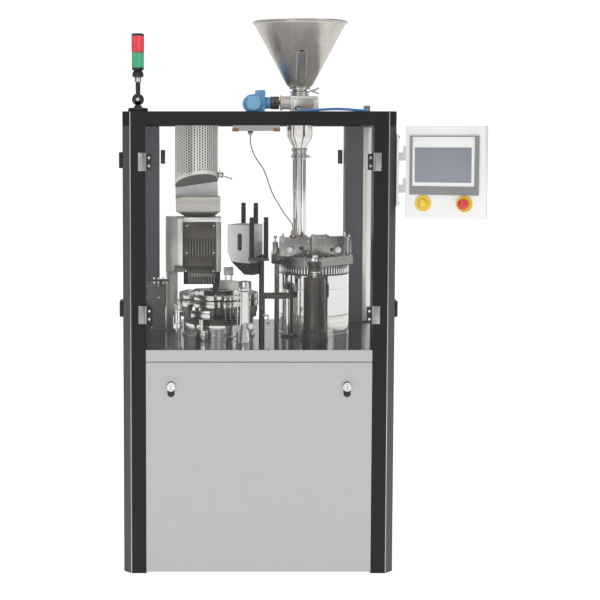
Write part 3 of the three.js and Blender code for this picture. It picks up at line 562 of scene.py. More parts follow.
def finish_piece(name, bm, material, body="cabinet", sharp=32, replaces=()):
    bmesh.ops.recalc_face_normals(bm, faces=bm.faces)
    bmesh.ops.scale(bm, vec=(MM, MM, MM), verts=bm.verts)
    mesh = bpy.data.meshes.new(name)
    bm.to_mesh(mesh)
    bm.free()
    mesh.materials.append(material)
    mesh.shade_smooth()
    mesh.set_sharp_from_angle(angle=math.radians(sharp))
    made = bpy.data.objects.new(name, mesh)
    scene.collection.objects.link(made)
    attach(made, body)
    if replaces:
        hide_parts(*replaces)
    return made


# %% [markdown]
# Screws repeat all over a machine. A Geometry Nodes tree makes one socket head, with its chamfer and its
# hexagon, and puts it on every point of a small mesh, turned to the point's own outward direction.

# %% Screw tree
# Every tree takes a mesh, some counts, some lengths and a finish, and gives a mesh.
def new_tree(name, lengths, counts=()):
    tree = bpy.data.node_groups.new(name, "GeometryNodeTree")
    sockets = tree.interface
    sockets.new_socket("Geometry", in_out="INPUT", socket_type="NodeSocketGeometry")
    for label in counts:
        sockets.new_socket(label, in_out="INPUT", socket_type="NodeSocketInt")
    for label in lengths:
        sockets.new_socket(label, in_out="INPUT", socket_type="NodeSocketFloat")
    sockets.new_socket("Finish", in_out="INPUT", socket_type="NodeSocketMaterial")
    sockets.new_socket("Geometry", in_out="OUTPUT", socket_type="NodeSocketGeometry")
    return tree, add_node(tree, "NodeGroupInput"), add_node(tree, "NodeGroupOutput")


# The last steps of a tree of copies: they become real mesh and take the finish.
def end_tree(tree, given, result, geometry):
    real = add_node(tree, "GeometryNodeRealizeInstances", {"Geometry": geometry})
    painted = add_node(
        tree, "GeometryNodeSetMaterial",
        {"Geometry": real.outputs["Geometry"], "Material": given.outputs["Finish"]},
    )
    tree.links.new(painted.outputs["Geometry"], result.inputs["Geometry"])
    print("tree", tree.name, "has", len(tree.nodes), "nodes")


screw_tree, given, result = new_tree("socket_screws", ["Head Radius"])


def scaled(tree, value, factor):
    return add_node(tree, "ShaderNodeMath", {0: value, 1: factor}, operation="MULTIPLY").outputs[0]


head_radius = given.outputs["Head Radius"]
height = scaled(screw_tree, head_radius, 0.9)
drum = add_node(
    screw_tree, "GeometryNodeMeshCylinder", {"Vertices": 20, "Radius": head_radius, "Depth": height},
)
top_edge = add_node(
    screw_tree,
    "GeometryNodeMeshCone",
    {"Vertices": 20, "Radius Bottom": head_radius, "Radius Top": scaled(screw_tree, head_radius, 0.82),
     "Depth": scaled(screw_tree, head_radius, 0.18)},
)
lift_chamfer = add_node(screw_tree, "ShaderNodeCombineXYZ", {"Z": scaled(screw_tree, head_radius, 0.45)})
raised_edge = add_node(
    screw_tree, "GeometryNodeTransform",
    {"Geometry": top_edge.outputs["Mesh"], "Translation": lift_chamfer.outputs["Vector"]},
)
hexagon = add_node(
    screw_tree, "GeometryNodeMeshCylinder",
    {"Vertices": 6, "Radius": scaled(screw_tree, head_radius, 0.5), "Depth": height},
)
lift_hexagon = add_node(screw_tree, "ShaderNodeCombineXYZ", {"Z": scaled(screw_tree, head_radius, 0.62)})
raised_hexagon = add_node(
    screw_tree, "GeometryNodeTransform",
    {"Geometry": hexagon.outputs["Mesh"], "Translation": lift_hexagon.outputs["Vector"]},
)
body_join = add_node(screw_tree, "GeometryNodeMeshBoolean", operation="UNION", solver="EXACT")
screw_tree.links.new(drum.outputs["Mesh"], body_join.inputs["Mesh 2"])
screw_tree.links.new(raised_edge.outputs["Geometry"], body_join.inputs["Mesh 2"])
recess = add_node(screw_tree, "GeometryNodeMeshBoolean", operation="DIFFERENCE", solver="EXACT")
screw_tree.links.new(body_join.outputs["Mesh"], recess.inputs["Mesh 1"])
screw_tree.links.new(raised_hexagon.outputs["Geometry"], recess.inputs["Mesh 2"])
outward = add_node(
    screw_tree, "GeometryNodeInputNamedAttribute", {"Name": "outward"}, data_type="FLOAT_VECTOR",
)
aim = add_node(
    screw_tree, "FunctionNodeAlignRotationToVector", {"Vector": outward.outputs["Attribute"]}, axis="Z"
)
copies = add_node(
    screw_tree, "GeometryNodeInstanceOnPoints",
    {
        "Points": given.outputs["Geometry"], "Instance": recess.outputs["Mesh"],
        "Rotation": aim.outputs["Rotation"],
    },
)
end_tree(screw_tree, given, result, copies.outputs["Instances"])


# A tree's modifier is evaluated and its result kept as a plain mesh.
def plain_from_tree(name, start, tree, values, body, sharp=32, replaces=()):
    carrier = bpy.data.objects.new(name, start)
    scene.collection.objects.link(carrier)
    modifier = carrier.modifiers.new("tree", "NODES")
    modifier.node_group = tree
    for item in tree.interface.items_tree:
        if item.in_out == "INPUT" and item.name in values:
            modifier[item.identifier] = values[item.name]
    depsgraph = bpy.context.evaluated_depsgraph_get()
    mesh = bpy.data.meshes.new_from_object(carrier.evaluated_get(depsgraph), depsgraph=depsgraph)
    mesh.name = name
    carrier.modifiers.clear()
    carrier.data = mesh
    mesh.shade_smooth()
    mesh.set_sharp_from_angle(angle=math.radians(sharp))
    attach(carrier, body)
    if replaces:
        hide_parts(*replaces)
    print(name, "has", len(mesh.polygons), "faces")
    return carrier


def screws(name, places, radius, body="cabinet", finish=None):
    start = bpy.data.meshes.new(name + "_points")
    start.from_pydata([Vector(point) * MM for point, _ in places], [], [])
    attribute = start.attributes.new("outward", "FLOAT_VECTOR", "POINT")
    for index, (_, direction) in enumerate(places):
        attribute.data[index].vector = direction
    values = {"Head Radius": radius * MM, "Finish": finish or TURNED_STEEL}
    return plain_from_tree(name, start, screw_tree, values, body)


# Upright screws spaced evenly round a centre.
def bolt_circle(centre, radius, height, count):
    angles = [math.radians(360 / count * k) for k in range(count)]
    x, y = centre
    return [((x + radius * math.cos(a), y + radius * math.sin(a), height), (0, 0, 1)) for a in angles]


# %% [markdown]
# Bright silver strips run along the folded edge between each front post's face and its chamfer. They are
# a painted highlight of that edge, drawn as a plain bar with broken edges.

# %% Post edge highlights
# Silver for the painted edge highlight.
EDGE_HIGHLIGHT_SILVER = grain(
    new_material("post_edge_painted_highlight", "#b9b9b7", 1.0, 0.3), 0.001, (1, 1, 50), 0.04, (0.24, 0.36),
    tint=("#b2b2b0", "#c2c2c0"),
)
post_low, post_high = (Vector(v) * TO_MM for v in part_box("post_front_left"))
CHAMFER = 30
edge_highlights = bmesh.new()
for side in (-1, 1):
    edge_x = side * (abs(post_low.x) - CHAMFER)
    block(
        edge_highlights, (edge_x - 1.6, post_low.y - 1.0, 2), (edge_x + 1.6, post_low.y + 1.0, ROOF * TO_MM - 1), 0.5,
    )
finish_piece("post_edge_highlight_strips", edge_highlights, EDGE_HIGHLIGHT_SILVER)
print("post trims made")

# %% [markdown]
# Each door turns on two clamp hinges. The leaf on the post is a chromed casting with a raised rim, and the
# leaf on the glass is black with two chromed screws. The two leaves ride on different bodies.

# %% Door hinges
HINGE_HEIGHTS, SIDE_HINGE_HEIGHTS, REAR_HINGE_HEIGHTS = (1556, 985), (1561, 1000), (1560, 1000)
LEAF_HALF = 34
front_y = FRONT * TO_MM
opening = abs(post_high.x)
fixed_leaves = bmesh.new()
screw_places = {"door_front_left": [], "door_front_right": []}
for side, door in ((-1, "door_front_left"), (1, "door_front_right")):
    moving_leaf = bmesh.new()
    for height in HINGE_HEIGHTS:
        inner, outer = sorted((side * (opening + 2), side * (opening + 27)))
        foot, top = height - LEAF_HALF, height + LEAF_HALF
        block(fixed_leaves, (inner, front_y - 5, foot), (outer, front_y - 0.2, top), 1.5)
        block(fixed_leaves, (inner + 5, front_y - 7, foot + 6), (outer - 5, front_y - 4.5, top - 6), 1.0)
        pin = side * opening
        bar(fixed_leaves, (pin, front_y - 6, foot), (pin, front_y - 6, top), 4.5)
        near, far = sorted((side * (opening - 5), side * (opening - 22)))
        block(moving_leaf, (near, front_y - 5, height - 30), (far, front_y + 1.8, height + 30), 1.2)
        block(moving_leaf, (near, front_y + 10.2, height - 30), (far, front_y + 14, height + 30), 1.2)
        for lift in (-15, 15):
            screw_places[door].append((((near + far) / 2, front_y - 6.5, height + lift), (0, -1, 0)))
    finish_piece(door + "_glass_leaves", moving_leaf, BLACK_MOULDED, door)
    screws(door + "_hinge_screws", screw_places[door], 5, door)
# The chromed leaves on the posts take the dull grey of painted shade.
finish_piece("post_hinge_leaves", fixed_leaves, SHADED_CHROME_GREY)

side_blocks = bmesh.new()
for side, door in ((-1, "door_side_left"), (1, "door_side_right")):
    grips = bmesh.new()
    for height in SIDE_HINGE_HEIGHTS:
        outer = side * 510
        wall = sorted((outer + side * 0.3, outer + side * 15))
        leaf = sorted((outer + side * 0.3, outer + side * 3.2))
        block(side_blocks, (wall[0], -376, height - 30), (wall[1], -359, height + 30), 2)
        block(side_blocks, (leaf[0], -360, height - 24), (leaf[1], -350.5, height + 24), 0.5)
        pin_x = outer + side * 6
        bar(grips, (pin_x, -344, height - 30), (pin_x, -344, height + 30), 5.2, 28, 1)
        block(grips, (wall[0], -341, height - 30), (wall[1], -312, height + 30), 2)
        inside = sorted((outer - side * 10.3, outer - side * 14))
        block(grips, (inside[0], -339, height - 28), (inside[1], -312, height + 28), 1)
    finish_piece(door + "_glass_grips", grips, BLACK_MOULDED, door)
finish_piece("side_post_hinge_blocks", side_blocks, BLACK_MOULDED)

rear_blocks = bmesh.new()
rear_y = -front_y
for side, door in ((-1, "door_rear_left"), (1, "door_rear_right")):
    grips = bmesh.new()
    for height in REAR_HINGE_HEIGHTS:
        edge_x = side * 398
        wall = sorted((edge_x + side * 2, edge_x + side * 26))
        block(rear_blocks, (wall[0], rear_y + 0.2, height - 30), (wall[1], rear_y + 6, height + 30), 1.5)
        glass = sorted((edge_x - side * 5, edge_x - side * 24))
        block(grips, (glass[0], rear_y - 1.8, height - 30), (glass[1], rear_y + 5, height + 30), 1.2)
        block(grips, (glass[0], rear_y - 14, height - 30), (glass[1], rear_y - 10.2, height + 30), 1.2)
    finish_piece(door + "_glass_grips", grips, BLACK_MOULDED, door)
finish_piece("rear_post_hinge_blocks", rear_blocks, BLACK_MOULDED)
print("hinges made")

# %% [markdown]
# The cover's two quarter-turn locks have a chromed barrel with a black pill-shaped plate below it. The
# plate is fixed to the cover and only the barrel turns.

# %% Cover locks
lock_middle = middle("cover_lock_right") * TO_MM
cover_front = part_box("lower_front_cover")[0][1] * TO_MM
LOCK_Z = 714
for side, body in ((-1, "lock_left"), (1, "lock_right")):
    plate = bmesh.new()
    x = side * abs(lock_middle.x)
    place = facing((0, -1, 0), x, cover_front - 0.2, LOCK_Z - 10)
    raised(plate, obround(26, 58), 0, 2.5, 0.8, place)
    finish_piece(f"{body}_plate", plate, BLACK_MOULDED, "front_cover")
    barrel = bmesh.new()
    profile = [
        (0, 0), (15, 0), (17, 1.5), (17, 8), (15.5, 9.6), (12, 9.6), (11, 8.4), (9, 8.2), (8.5, 9.4),
        (0, 9.4),
    ]
    turned(barrel, profile, facing((0, -1, 0), x, cover_front - 2.8, LOCK_Z), 64)
    finish_piece(f"{body}_barrel", barrel, MIRROR_STEEL, body)
    # A black bar on the barrel face stands for the key slot: painted shade of the recess.
    key = bmesh.new()
    block(key, (x - 1.2, cover_front - 13.2, LOCK_Z - 6), (x + 1.2, cover_front - 12, LOCK_Z + 6), 0.4)
    finish_piece(f"{body}_key_slot_shade", key, BLACK_MOULDED, body)
print("cover locks made")

# %% [markdown]
# The light tower is turned and moulded plastic. The lenses have fine upright ribs inside, which show as a
# soft striping, so each lens is a ribbed outline raised to its height.

# %% Light tower
tower_x, tower_y = -452, -385
roof = ROOF * TO_MM
KNUCKLE_Z = roof + 44.3
stand = bmesh.new()
turned(stand, [(0, 0.3), (36, 0.3), (37, 2), (37, 10), (34, 13), (17, 14), (14.5, 17), (14.5, 21), (0, 21)],
       upright(tower_x, tower_y, roof), 64)
block(stand, (tower_x - 10, tower_y - 12, roof + 19), (tower_x + 10, tower_y - 0.6, KNUCKLE_Z), 1)
bar(stand, (tower_x, tower_y - 0.6, KNUCKLE_Z), (tower_x, tower_y - 12, KNUCKLE_Z), 22, 48, 2)
finish_piece("tower_stand", stand, BLACK_MOULDED, replaces=("tower_base",))
mast = bmesh.new()
bar(mast, (tower_x, tower_y + 12, KNUCKLE_Z), (tower_x, tower_y + 0.6, KNUCKLE_Z), 22, 48, 2)
block(mast, (tower_x - 8, tower_y + 0.6, KNUCKLE_Z), (tower_x + 8, tower_y + 8, roof + 77), 1)
turned(mast, [(0, 68), (8, 68), (9, 70), (9, 108), (0, 108)], upright(tower_x, tower_y, roof), 48)
turned(
    mast,
    [(0, 126), (14, 126), (20, 128), (21, 131), (21, 140), (15, 151), (22, 154), (22.5, 161.4), (0, 161.4)],
    upright(tower_x, tower_y, roof), 64,
)
finish_piece("tower_mast_moulding", mast, BLACK_MOULDED, "tower", replaces=("tower_mast",))
collar = bmesh.new()
turned(collar, [(0, 107), (10, 107), (13, 109), (13, 125), (11, 126.5), (0, 126.5)],
       upright(tower_x, tower_y, roof), 48)
finish_piece("tower_collar", collar, TURNED_STEEL, "tower")
bolt = bmesh.new()
bar(bolt, (tower_x, tower_y - 12, KNUCKLE_Z), (tower_x, tower_y - 15, KNUCKLE_Z), 8, 6, 1)
finish_piece("tower_knuckle_bolt", bolt, TURNED_STEEL)


def ribbed_lens(name, radius, low, high, material, node):
    lens = bmesh.new()
    ribs = 40
    outline = []
    for i in range(ribs * 4):
        angle = 2 * math.pi * i / (ribs * 4)
        r = radius - 0.35 + 0.35 * math.cos(ribs * angle)
        outline.append((r * math.cos(angle), r * math.sin(angle)))
    raised(lens, outline, low + 2, high - 2, 0, upright(tower_x, tower_y, roof))
    for base in (low, high - 2.2):
        profile = [
            (0, base), (radius, base), (radius + 0.4, base + 1), (radius, base + 2.2), (0, base + 2.2),
        ]
        turned(lens, profile, upright(tower_x, tower_y, roof), 64)
    finish_piece(name, lens, material, "tower", replaces=(node,))


ribbed_lens("tower_green_lens", 22.5, 161.8, 217.5, GREEN_LENS, "tower_lens_green")
ribbed_lens("tower_red_lens", 23.5, 219, 279, RED_LENS, "tower_lens_red")
cap = bmesh.new()
turned(cap, [(0, 217.5), (21, 217.5), (21, 219), (0, 219)], upright(tower_x, tower_y, roof), 64)
turned(cap, [(0, 279), (23.5, 279), (23.5, 284), (20, 288), (0, 288.5)], upright(tower_x, tower_y, roof), 64)
finish_piece("tower_cap_and_joint", cap, BLACK_MOULDED, "tower")
print("light tower made")

# %% [markdown]
# The control panel is a welded sheet box with rounded edges, enamelled white. Its bezel and display are
# set in the front, and both buttons stand in yellow rings. Everything is built square to the panel and
# then turned with it, about its own hinge.

# %% Control panel
PANEL_YAW = -20
panel_place = upright(545, -385, 0, PANEL_YAW)
PANEL_FRONT = -70


def on_panel(direction, x, y, z):
    return panel_place @ facing(direction, x, y, z)


case = bmesh.new()
block(case, (16.2, PANEL_FRONT, 1347.2), (305.8, 10, 1687.8), 5, panel_place)
for base in (1470.3, 1590.3):
    block(case, (0, -6, base), (22, 6, base + 24), 1, panel_place)
    turned(case, [(0, base), (8, base), (8, base + 24), (0, base + 24)], panel_place, 40)
finish_piece("panel_case", case, WHITE_ENAMEL, "panel", replaces=("panel_housing",))
seam = bmesh.new()
block(seam, (15.8, -12, 1346.8), (306.2, -10.6, 1688.2), 0.1, panel_place)
finish_piece("panel_back_cover_seam", seam, GREY_MOULDED, "panel")

bezel = bmesh.new()
outer, inner = (33, 286, 1437, 1653), (43, 270, 1468, 1649)
front, back = PANEL_FRONT - 8, PANEL_FRONT - 0.3
x0, x1, z0, z1 = outer
i0, i1, k0, k1 = inner
for low, high in (
    ((x0, front, k1), (x1, back, z1)), ((x0, front, z0), (x1, back, k0)),
    ((x0, front, k0), (i0, back, k1)), ((i1, front, k0), (x1, back, k1)),
):
    block(bezel, low, high, 0, panel_place)
finish_piece("screen_bezel", bezel, GREY_MOULDED, "panel", replaces=("touch_screen",))
mask = bmesh.new()
block(mask, (i0 + 0.2, front + 1.5, k0 + 0.2), (i1 - 0.2, back, k1 - 0.2), 0.3, panel_place)
finish_piece("screen_white_mask", mask, WHITE_MOULDED, "panel")
display = bmesh.new()
block(display, (53, front + 1.0, 1483), (258, front + 1.7, 1609), 0.2, panel_place)
finish_piece("screen_display", display, SCREEN_GLASS, "panel")
display_line = bmesh.new()
LINE_SIDES = [
    ((52, 1482), (259, 1483)), ((52, 1609), (259, 1610)),
    ((52, 1483), (53, 1609)), ((258, 1483), (259, 1609)),
]
for low, high in LINE_SIDES:
    block(display_line, (low[0], front + 0.8, low[1]), (high[0], front + 1.7, high[1]), 0, panel_place)
finish_piece("display_frame", display_line, GREY_MOULDED, "panel")

STOP_X, START_X, BUTTON_Z = 234, 83, 1405
rings = bmesh.new()
for x in (STOP_X, START_X):
    profile = [(16, 0.2), (30, 0.2), (30, 2.4), (29, 3.2), (17, 3.4), (16, 2.8), (16, 0.2)]
    turned(rings, profile, on_panel((0, -1, 0), x, PANEL_FRONT, BUTTON_Z), 72)
finish_piece("button_rings", rings, YELLOW_MOULDED, "panel")
mushroom = bmesh.new()
profile = [(0, -15), (11, -15), (11, 16), (14, 18), (19, 20), (20, 23), (20, 32), (19, 36), (15.5, 39.5),
           (9, 41.6), (0, 42.4)]
turned(mushroom, profile, on_panel((0, -1, 0), STOP_X, PANEL_FRONT, BUTTON_Z), 72)
finish_piece(
    "emergency_mushroom", mushroom, RED_BUTTON, "stop_button", replaces=("estop_button",),
)
sleeve = bmesh.new()
profile = [(12, 3.5), (17, 3.5), (17, 15), (16, 17), (12, 17), (12, 3.5)]
turned(sleeve, profile, on_panel((0, -1, 0), STOP_X, PANEL_FRONT, BUTTON_Z), 60)
finish_piece("emergency_sleeve", sleeve, YELLOW_MOULDED, "panel")
push = bmesh.new()
profile = [(0, -15), (13.6, -15), (13.6, 11), (12.5, 12.5), (10, 13.2), (0, 13.6)]
turned(push, profile, on_panel((0, -1, 0), START_X, PANEL_FRONT, BUTTON_Z), 60)
finish_piece("start_push", push, YELLOW_MOULDED, "run_button", replaces=("start_button",))
start_collar = bmesh.new()
profile = [(14.5, 3.2), (17.5, 3.2), (17.5, 9), (16.5, 10), (14.5, 10), (14.5, 3.2)]
turned(start_collar, profile, on_panel((0, -1, 0), START_X, PANEL_FRONT, BUTTON_Z), 60)
finish_piece("start_bezel", start_collar, YELLOW_MOULDED, "panel")
screws(
    "bracket_screws",
    [((511 + 8.5, -385 + y, z), (1, 0, 0)) for y in (-18, 18) for z in (1402, 1648)],
    5,
    finish=DARK_STEEL,
)
print("control panel made")

# %% [markdown]
# The powder hopper is a rolled and welded cone with a bright turned-in collar and a wired rim. It is turned
# from one profile, with an obround sight window set on its front, lying along the slope of the cone.

# %% Powder hopper
HOPPER_X, HOPPER_Y = 180, 44
RIM_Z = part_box("powder_hopper")[1][2] * TO_MM
hopper_axis = upright(HOPPER_X, HOPPER_Y, 0)
CONE_LOW, CONE_HIGH = 1855.3, RIM_Z - 15
CONE_FOOT, CONE_MOUTH = 53, 180


def rim_bead(centre_radius, centre_z, radius, steps=10):
    points = []
    for i in range(steps + 1):
        angle = math.radians(-90 + 270 * i / steps)
        points.append((centre_radius + radius * math.cos(angle), centre_z + radius * math.sin(angle)))
    return points


cone = bmesh.new()
profile = [
    (28, 1812.8), (30, 1812.8), (30, 1838), (CONE_FOOT, CONE_LOW), (CONE_MOUTH, CONE_HIGH),
    (CONE_MOUTH + 1, CONE_HIGH + 2), (CONE_MOUTH + 1, RIM_Z - 8), *rim_bead(186, RIM_Z - 5, 5),
    (178, RIM_Z - 4), (178, CONE_HIGH + 1), (51, CONE_LOW + 2), (28, 1839), (28, 1812.8),
]
turned(cone, profile, hopper_axis, 128)
finish_piece("powder_hopper_cone", cone, BRUSHED_UPRIGHT, replaces=("powder_hopper",))
collar = bmesh.new()
wall = CONE_MOUTH + 1.2
profile = [
    (wall, CONE_HIGH + 2.4), (wall + 1.4, CONE_HIGH + 2.8), (wall + 1.4, RIM_Z - 9), (wall, RIM_Z - 8.6),
    (wall, CONE_HIGH + 2.4),
]
turned(collar, profile, hopper_axis, 128)
finish_piece("powder_hopper_collar", collar, ELECTROPOLISHED)

slope = math.atan2(CONE_MOUTH - CONE_FOOT, CONE_HIGH - CONE_LOW)
WINDOW_Z = 1930
window_radius = CONE_FOOT + (WINDOW_Z - CONE_LOW) * math.tan(slope)
window_out = Vector((0, -math.cos(slope), -math.sin(slope)))
window_along = Vector((0, -math.sin(slope), math.cos(slope)))
turn = Matrix((Vector((1, 0, 0)), window_along, window_out)).transposed().to_4x4()
window_place = Matrix.Translation((HOPPER_X, HOPPER_Y - window_radius, WINDOW_Z)) @ turn
window_frame = bmesh.new()
outer, inner = obround(44, 138, 14), obround(33, 127, 14)
levels = []
for outline, level in ((inner, -5), (outer, -5), (outer, 2.4), (inner, 3.2)):
    levels.append([window_frame.verts.new(window_place @ Vector((x, y, level))) for x, y in outline])
stitch(window_frame, levels, looped=True)
finish_piece("sight_window_frame", window_frame, MIRROR_STEEL)
window_pane = bmesh.new()
raised(window_pane, obround(32.6, 126.6, 14), -1.0, 1.2, 0.4, window_place)
# Glass with a film of powder behind it.
SIGHT_GLASS = grain(
    new_material("smoked_sight_glass", "#8f8f8d", 0.3, 0.12, coat_weight=0.5), 0.02, bump=0.0,
    rough=(0.1, 0.18), tint=("#80807e", "#a3a29f"),
)
finish_piece("sight_window_pane", window_pane, SIGHT_GLASS)

ferrules = bmesh.new()
for base, radius in ((1822, 40), (1838, 43)):
    profile = [
        (30.2, base), (radius - 3, base), (radius, base + 2.5), (radius, base + 5.5),
        (radius - 3, base + 8), (30.2, base + 8), (30.2, base),
    ]
    turned(ferrules, profile, hopper_axis, 72)
profile = [(30.2, 1812.8), (38, 1812.8), (38, 1817), (36, 1819), (30.2, 1819), (30.2, 1812.8)]
turned(ferrules, profile, hopper_axis, 72)
finish_piece("hopper_ferrules", ferrules, MIRROR_STEEL)
wing = bmesh.new()
bar(wing, (HOPPER_X + 38, HOPPER_Y - 6, 1832), (HOPPER_X + 62, HOPPER_Y - 6, 1832), 4)
bar(wing, (HOPPER_X + 50, HOPPER_Y - 6, 1832), (HOPPER_X + 64, HOPPER_Y - 6, 1832), 7, 24)
for lift in (-1, 1):
    tip = (HOPPER_X + 78, HOPPER_Y - 6, 1832 + lift * 12)
    bar(wing, (HOPPER_X + 60, HOPPER_Y - 6, 1832 + lift * 4), tip, 3.4, 20)
finish_piece("clamp_wing_nut", wing, TURNED_STEEL)
print("powder hopper made")

# %% [markdown]
# The feeder is a machined block with bolted end plates. A star coupling with rubber teeth joins its screw
# to the worm gearbox, which is a blue enamelled casting with a round cover.

# %% Feeder
SHAFT_Z = 1784.3
feeder = bmesh.new()
block(feeder, (147.5, -5.5, roof + 0.6), (252.5, 93.5, 1811), 2.5)
block(feeder, (143, -7.5, roof + 0.6), (153, 95, 1812), 1.5)
block(feeder, (247, -7.5, roof + 0.6), (253, 95, 1812), 1.5)
bar(feeder, (146, HOPPER_Y, SHAFT_Z), (101, HOPPER_Y, SHAFT_Z), 27, 56, 2)
bar(feeder, (109, HOPPER_Y, SHAFT_Z), (101.4, HOPPER_Y, SHAFT_Z), 31, 56, 1)
finish_piece("feeder_housing", feeder, ELECTROPOLISHED, replaces=("feeder_body",))
band = bmesh.new()
block(band, (166, -7.4, 1757), (234, -5.2, 1801), 0.8)
finish_piece("feeder_name_free_plate", band, BRUSHED_LEVEL)
feeder_screws = [((x, -7.6, z), (0, -1, 0)) for x in (158, 242) for z in (1755, 1802)]
feeder_screws += [((x, -7.6, z), (0, -1, 0)) for x in (172, 228) for z in (1762, 1796)]
screws("feeder_screws", feeder_screws, 3.6)

# Moulded rubber with a dusty matt skin.
DARK_RUBBER = grain(
    new_material("dark_coupling_rubber", "#3a3230", 0.0, 0.6), 0.001, bump=0.2, rough=(0.5, 0.7)
)
star = bmesh.new()
lobes = 6
outline = []
for i in range(96):
    angle = 2 * math.pi * i / 96
    r = 23 + 3.4 * math.tanh(2.5 * math.cos(lobes * angle))
    outline.append((r * math.cos(angle), r * math.sin(angle)))
star_place = facing((1, 0, 0), 62, HOPPER_Y, SHAFT_Z)
raised(star, outline, 12, 24, 0.8, star_place)
finish_piece("coupling_star", star, DARK_RUBBER, "auger")
hubs = bmesh.new()
for start, end in ((0, 11.6), (24.4, 35)):
    bar(hubs, (62 + start, HOPPER_Y, SHAFT_Z), (62 + end, HOPPER_Y, SHAFT_Z), 24, 48, 1.5)
bar(hubs, (97, HOPPER_Y, SHAFT_Z), (100.8, HOPPER_Y, SHAFT_Z), 9)
finish_piece("coupling_hubs", hubs, DARK_STEEL, "auger")

BARREL_X = -8
gearbox = bmesh.new()
block(gearbox, (0.5, 4.5, roof + 11.5), (40.5, 83.5, roof + 92), 5)
block(gearbox, (2, 8, roof + 0.6), (38, 80, roof + 13), 2)
bar(gearbox, (40, HOPPER_Y, SHAFT_Z), (60.8, HOPPER_Y, SHAFT_Z), 24, 48, 1.5)
bar(gearbox, (BARREL_X, 102, SHAFT_Z), (BARREL_X, -11.5, SHAFT_Z), 33, 56, 3)
for y in (18, 34, 50, 66, 82):
    bar(gearbox, (BARREL_X, y, SHAFT_Z), (BARREL_X, y + 5, SHAFT_Z), 35, 56, 1)
bar(gearbox, (BARREL_X, 103, SHAFT_Z), (BARREL_X, 243.5, SHAFT_Z), 37.5, 56, 4)
for step in range(18):
    angle = math.radians(step * 20)
    low = Matrix.Translation((BARREL_X, 0, SHAFT_Z)) @ Matrix.Rotation(angle, 4, "Y")
    block(gearbox, (-1, 122, 30), (1, 220, 37.9), 0, low)
finish_piece("worm_gearbox", gearbox, BLUE_ENAMEL, replaces=("feeder_motor",))
cover = bmesh.new()
bar(cover, (BARREL_X, -11, SHAFT_Z), (BARREL_X, -12.2, SHAFT_Z), 26, 56, 0.5)
# Enamel sprayed on a turned cover, so it is smoother than the casting.
PALE_BLUE = grain(
    new_material("pale_blue_cover_enamel", "#8fcdf2", 0.0, 0.35, coat_weight=0.3), 0.003, bump=0.02,
    rough=(0.28, 0.4), tint=("#8bcaf0", "#93d0f4"),
)
finish_piece("gearbox_round_cover", cover, PALE_BLUE)
gear_screws = [((x, 3.8, roof + z), (0, -1, 0)) for x in (7, 34) for z in (19, 84)]
gear_screws += [((BARREL_X + 29.5 * math.cos(a), -11.8, SHAFT_Z + 29.5 * math.sin(a)), (0, -1, 0))
                for a in (math.radians(45 + 90 * k) for k in range(4))]
screws("gearbox_screws", gear_screws, 3.2)
fittings = bmesh.new()
bar(fittings, (165, -8, 1762), (165, -20, 1762), 8, 32, 1)
bar(fittings, (430, -150, 1756), (430, -162, 1756), 8, 32, 1)
finish_piece("hose_fittings", fittings, BLACK_MOULDED)
print("feeder made")

# %% [markdown]
# Under the roof a turned funnel gathers the powder into a mirror-polished tube. A clamp with two ferrules
# joins them, so that the tube can be taken out and washed.

# %% Funnel and feed tube
funnel_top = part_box("feed_funnel")[1][2] * TO_MM
tube_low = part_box("feed_tube")[0][2] * TO_MM
line = bmesh.new()
profile = [
    (25, 1594.4), (32, 1594.4), (33, 1596), (32, 1600), (27, 1602), (28, 1606), (50, 1642), (52, 1650),
    (52, funnel_top - 6), (70, funnel_top - 6), (70, funnel_top), (50, funnel_top), (50, 1651), (26, 1607),
    (25, 1603), (25, 1594.4),
]
turned(line, profile, hopper_axis, 96)
finish_piece("powder_funnel", line, TURNED_STEEL, replaces=("feed_funnel",))
pipe = bmesh.new()
profile = [
    (25, tube_low), (27, tube_low), (27, 1558), (30, 1560), (34, 1561.5), (34, 1565), (30, 1567),
    (30, 1568), (34, 1570), (34, 1573.5), (30, 1575), (27, 1577), (27, 1588), (32, 1589), (32, 1594),
    (25, 1594), (25, tube_low),
]
turned(pipe, profile, hopper_axis, 96)
finish_piece("powder_tube", pipe, MIRROR_STEEL, replaces=("feed_tube",))
tube_clamp = bmesh.new()
bar(tube_clamp, (HOPPER_X + 26, HOPPER_Y - 10, 1567.5), (HOPPER_X + 44, HOPPER_Y - 10, 1567.5), 5, 24)
finish_piece("tube_clamp_bolt", tube_clamp, TURNED_STEEL)

# Pressed phenolic resin with a wavy brown figure.
BAKELITE = grain(
    new_material("orange_brown_bakelite", "#a8663c", 0.0, 0.45), 0.002, bump=0.1, rough=(0.36, 0.5),
    tint=("#9c5c35", "#b57345"),
)
ends = bmesh.new()
for low_x, high_x in ((-92, -66), (74, 100)):
    block(ends, (low_x, -1.5, 1668.5), (high_x, 61, 1682), 1.5)
finish_piece("ceiling_light_ends", ends, BAKELITE)
gland = bmesh.new()
bar(gland, (-19, 30, 1672), (-19, 30, 1664), 11, 6, 1)
bar(gland, (-19, 30, 1665), (-19, 30, 1655.2), 8, 32, 2)
finish_piece("cable_gland", gland, BLACK_MOULDED)
print("funnel and tube made")

# %% [markdown]
# The capsule hopper is a drum of perforated sheet. The holes are laid out flat as staggered cells on a
# grid, each cell a small plate with a round hole, and a Geometry Nodes tree then wraps the flat sheet into
# a drum. Such drums have holes of about 3 mm on a 5 mm pitch. They are drawn at 8 mm on 11 mm, to show.

